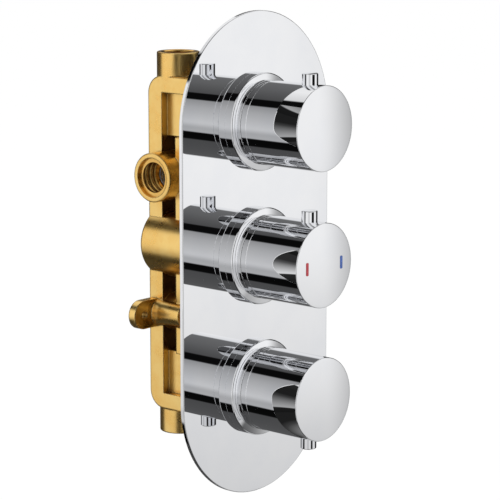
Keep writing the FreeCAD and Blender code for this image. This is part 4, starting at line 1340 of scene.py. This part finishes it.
# ----------------------------------------------------------------------- stage
# What the gloss meets all round the knobs' axis: (degrees, level) in front of the wall, behind
# it, and square to the axis
FRONT_CARDS = (
    (-180, 1.0), (-151, 0.95), (-145, 0.17), (-65, 0.13), (-62, 0.006), (-41, 0.004), (-39, 0.8),
    (-8, 0.7), (30, 0.5), (49, 0.36), (51, 0.004), (70, 0.004), (72, 0.09), (110, 0.15),
    (147, 0.18), (153, 0.95), (180, 1.0),
)
BACK_CARDS = (
    (-180, 0.12), (-140, 0.12), (-65, 0.08), (-62, 0.005), (-40, 0.004), (-37, 0.95), (40, 0.95),
    (44, 0.004), (75, 0.004), (78, 0.75), (110, 0.95), (139, 0.9), (143, 0.12), (180, 0.12),
)
SIDE_CARDS = (
    (-180, 0.6), (-150, 0.95), (-110, 0.9), (-95, 0.1), (-55, 0.02), (-48, 0.95), (48, 0.95),
    (55, 0.02), (95, 0.1), (110, 0.95), (150, 0.95), (180, 0.6),
)
# (start, end, colour) of the caps over the cards' ends, by how far a ray points along the axis
CAPS = (
    (-0.7, -0.74, WHITE),
    (-0.92, -0.95, (0.006, 0.006, 0.006, 1)),
    (0.8, 0.88, (0.06, 0.06, 0.062, 1)),
)
# (axis, start, end, share of the level that is left): where the cards fall off
FALLS = (("X", 0.75, 0.84, 0.38), ("Z", -0.14, -0.36, 0.66), ("X", 0.84, 0.87, 0.05))
FLOOR_REACH = 6.0
FLOOR_WHITE = 0.8  # share of the camera's view of the floor that glows
FLOOR_GLOW = 1.07
FLAG_DEPTH = 1 * MM
FLAG_TOP = 132 * MM
FLAG_REACH = (4.2 * MM, 120 * MM)
# Level of the rim's card along one valve step, from half a step below a knob's axis
FLAG_STOPS = ((0.0, 0.01), (0.17, 0.012), (0.2, 0.42), (0.45, 0.2), (0.62, 0.05), (0.72, 0.015))
# (place, width, power in watts)
LAMPS = {
    "key_lamp": ((-1.4, -1.1, 1.6), 1.2, 14.0),
    "fill_lamp": ((1.5, -1.2, 0.6), 1.4, 5.0),
}


class VALVE_OT_stage(bpy.types.Operator):
    """Pale floor, soft light, dark flags for the chrome, and the camera"""

    bl_idname = "shower_valve.stage"
    bl_label = "Stage"

    def execute(self, context):
        settings = context.scene.valve_studio
        self.world(context.scene, settings)
        self.floor(settings)
        self.flag()
        self.lamps()
        self.camera(context.scene, settings)
        context.scene.view_settings.view_transform = "Standard"
        return {"FINISHED"}

    def world(self, scene, settings):
        """White to the camera, cards and flags to gloss, and even soft light otherwise."""
        world = bpy.data.worlds.new("soft_studio")
        world.use_nodes = True
        graph = Graph(world.node_tree)
        ray = graph.node("ShaderNodeTexCoord", out="Generated")
        ways = {axis: graph.coordinate(ray, axis) for axis in "XYZ"}
        x, y, z = ways.values()
        around = graph.maths("ARCTAN2", z, x * -1) / (2 * math.pi) + 0.5
        front = self.ring_of_cards(graph, around, FRONT_CARDS)
        back = self.ring_of_cards(graph, around, BACK_CARDS)
        side = self.ring_of_cards(graph, around, SIDE_CARDS)
        cards = graph.mix(y > 0, front, back)
        cards = graph.mix(graph.fade(graph.maths("ABSOLUTE", y), 0.42, 0.3), cards, side)
        for start, end, cap in CAPS:
            cards = graph.mix(graph.fade(y, start, end), cards, cap)
        falling = 1.0
        for axis, start, end, left in FALLS:
            falling = graph.fade(ways[axis], start, end, 1.0, left) * falling
        levels = {"X": falling, "Y": falling, "Z": falling}
        grey = graph.node("ShaderNodeCombineXYZ", None, levels, "Vector")
        toned = graph.vector_maths("MULTIPLY", cards, grey)
        glossy, camera, through = (
            graph.node("ShaderNodeLightPath", out=f"Is {kind} Ray")
            for kind in ("Glossy", "Camera", "Transmission")
        )
        soft = settings.soft_light
        light = graph.mix(glossy, (soft, soft, soft, 1), toned)
        light = graph.mix(graph.maths("MAXIMUM", camera, through), light, WHITE)
        values = {"Color": light, "Strength": 1.0}
        ground = graph.node("ShaderNodeBackground", None, values, "Background")
        graph.node("ShaderNodeOutputWorld", None, {"Surface": ground})
        world.cycles.sampling_method = "NONE"
        scene.world = world

    def ring_of_cards(self, graph, around, cards):
        """A ramp of levels round the knobs' axis."""
        stops = [((angle + 180) / 360, level) for angle, level in cards]
        return graph.node("ShaderNodeValToRGB", {"stops": stops}, {"Fac": around}, "Color")

    def card(self, name, vertices, faces):
        """A flat piece of the stage, in the material of its own name."""
        mesh = bpy.data.meshes.new(name)
        mesh.from_pydata(vertices, [], faces)
        mesh.materials.append(bpy.data.materials[PREFIX + name])
        return new_object(name, mesh)

    def glow(self, graph, colour, strength):
        """Light of this colour."""
        values = {"Color": colour, "Strength": strength}
        return graph.node("ShaderNodeEmission", None, values, "Emission")

    def floor(self, settings):
        """A pale floor well below the valve, white to the camera where no shadow falls."""
        graph = start_material("floor")
        pale = graph.node("ShaderNodeBsdfDiffuse", None, {"Color": (0.9, 0.9, 0.9, 1)}, "BSDF")
        white = self.glow(graph, WHITE, FLOOR_GLOW)
        seen = graph.node("ShaderNodeLightPath", out="Is Camera Ray") * FLOOR_WHITE
        look = graph.node("ShaderNodeMixShader", None, {"Fac": seen}, "Shader")
        for socket, shader in zip(look.socket.node.inputs[1:], (pale, white)):
            graph.feed(socket, shader)
        graph.node("ShaderNodeOutputMaterial", None, {"Surface": look})
        corners = [(-1, -1), (1, -1), (1, 1), (-1, 1)]
        vertices = [(x * FLOOR_REACH, y * FLOOR_REACH, settings.floor_height) for x, y in corners]
        floor = self.card("floor", vertices, [(0, 1, 2, 3)])
        floor.visible_glossy = False

    def flag(self):
        """Dark card round the back of the plate's rim, which only gloss meets."""
        rim = stadium_loop(0.0, FLAG_DEPTH)
        upper = [p for p in rim if 0 < p[2] < FLAG_TOP]
        left = sorted((p for p in upper if p[0] < 0), key=lambda p: -p[2])
        right = sorted((p for p in upper if p[0] > 0), key=lambda p: p[2])
        lower = [p for p in rim if p[2] < 0]
        lower.sort(
            key=lambda p: (math.atan2(p[2] + VALVE_STEP, p[0]) - math.pi / 2) % (2 * math.pi)
        )
        path = left + lower + right
        vertices = []
        for x, y, z in path:
            centre = max(-VALVE_STEP, min(VALVE_STEP, z))
            spoke = Vector((x, 0, z - centre)).normalized()
            for reach in FLAG_REACH:
                vertices.append((x + spoke.x * reach, y, z + spoke.z * reach))
        faces = [(a, a + 1, a + 3, a + 2) for a in range(0, 2 * len(path) - 2, 2)]
        graph, place = start_finish("rim_flag")
        height = graph.coordinate(place, "Z")
        share = graph.maths("FRACT", (height + 2.5 * VALVE_STEP) / VALVE_STEP)
        level = graph.node("ShaderNodeValToRGB", {"stops": FLAG_STOPS}, {"Fac": share}, "Color")
        brighter = graph.maths("ABSOLUTE", height) < VALVE_STEP / 2
        dim = self.glow(graph, level, 1.0 + brighter * 0.9)
        graph.node("ShaderNodeOutputMaterial", None, {"Surface": dim})
        flag = self.card("rim_flag", vertices, faces)
        for ray in ("camera", "diffuse", "shadow", "transmission"):
            setattr(flag, "visible_" + ray, False)

    def lamps(self):
        """A large soft lamp from the upper left and a weaker one from the right."""
        for name, (place, width, power) in LAMPS.items():
            light = bpy.data.lights.new(name, "AREA")
            light.shape = "SQUARE"
            light.size = width
            light.energy = power
            lamp = new_object(name, light)
            lamp.location = place
            lamp.rotation_euler = (-Vector(place)).to_track_quat("-Z", "Y").to_euler()
            lamp.visible_glossy = False

    def camera(self, scene, settings):
        lens = bpy.data.cameras.new("photo_camera")
        lens.lens = settings.camera_lens
        lens.sensor_width = 36.0
        lens.sensor_fit = "HORIZONTAL"
        lens.clip_start = 0.05
        camera = new_object("photo_camera", lens)
        place = Vector(settings.camera_place)
        camera.location = place
        way = Vector(settings.camera_target) - place
        camera.rotation_euler = way.to_track_quat("-Z", "Y").to_euler()
        scene.camera = camera


# ----------------------------------------------------------------------- panel
OPERATORS = (
    VALVE_OT_wall_plate,
    VALVE_OT_shrouds,
    VALVE_OT_knobs,
    VALVE_OT_marks,
    VALVE_OT_body,
    VALVE_OT_seals,
    VALVE_OT_springs,
    VALVE_OT_inner_pieces,
    VALVE_OT_stage,
)


class VALVE_PT_panel(bpy.types.Panel):
    bl_idname = "VALVE_PT_panel"
    bl_label = "Thermostatic shower valve"
    bl_space_type = "VIEW_3D"
    bl_region_type = "UI"
    bl_category = "Shower valve"

    def draw(self, context):
        for operator in OPERATORS:
            self.layout.operator(operator.bl_idname)
        for name in SETTINGS:
            group = getattr(context.scene, name)
            box = self.layout.box()
            for label in group.bl_rna.properties.keys():
                if label not in ("rna_type", "name"):
                    box.prop(group, label)


def register():
    for made in (*SETTINGS.values(), *OPERATORS, VALVE_PT_panel):
        bpy.utils.register_class(made)
    for name, group in SETTINGS.items():
        setattr(bpy.types.Scene, name, bpy.props.PointerProperty(type=group))


def unregister():
    for name in SETTINGS:
        delattr(bpy.types.Scene, name)
    for made in (VALVE_PT_panel, *reversed(OPERATORS), *reversed(list(SETTINGS.values()))):
        bpy.utils.unregister_class(made)


def main():
    register()
    for operator in OPERATORS:
        group, name = operator.bl_idname.split(".")
        getattr(getattr(bpy.ops, group), name)()


if __name__ == "__main__":
    main()
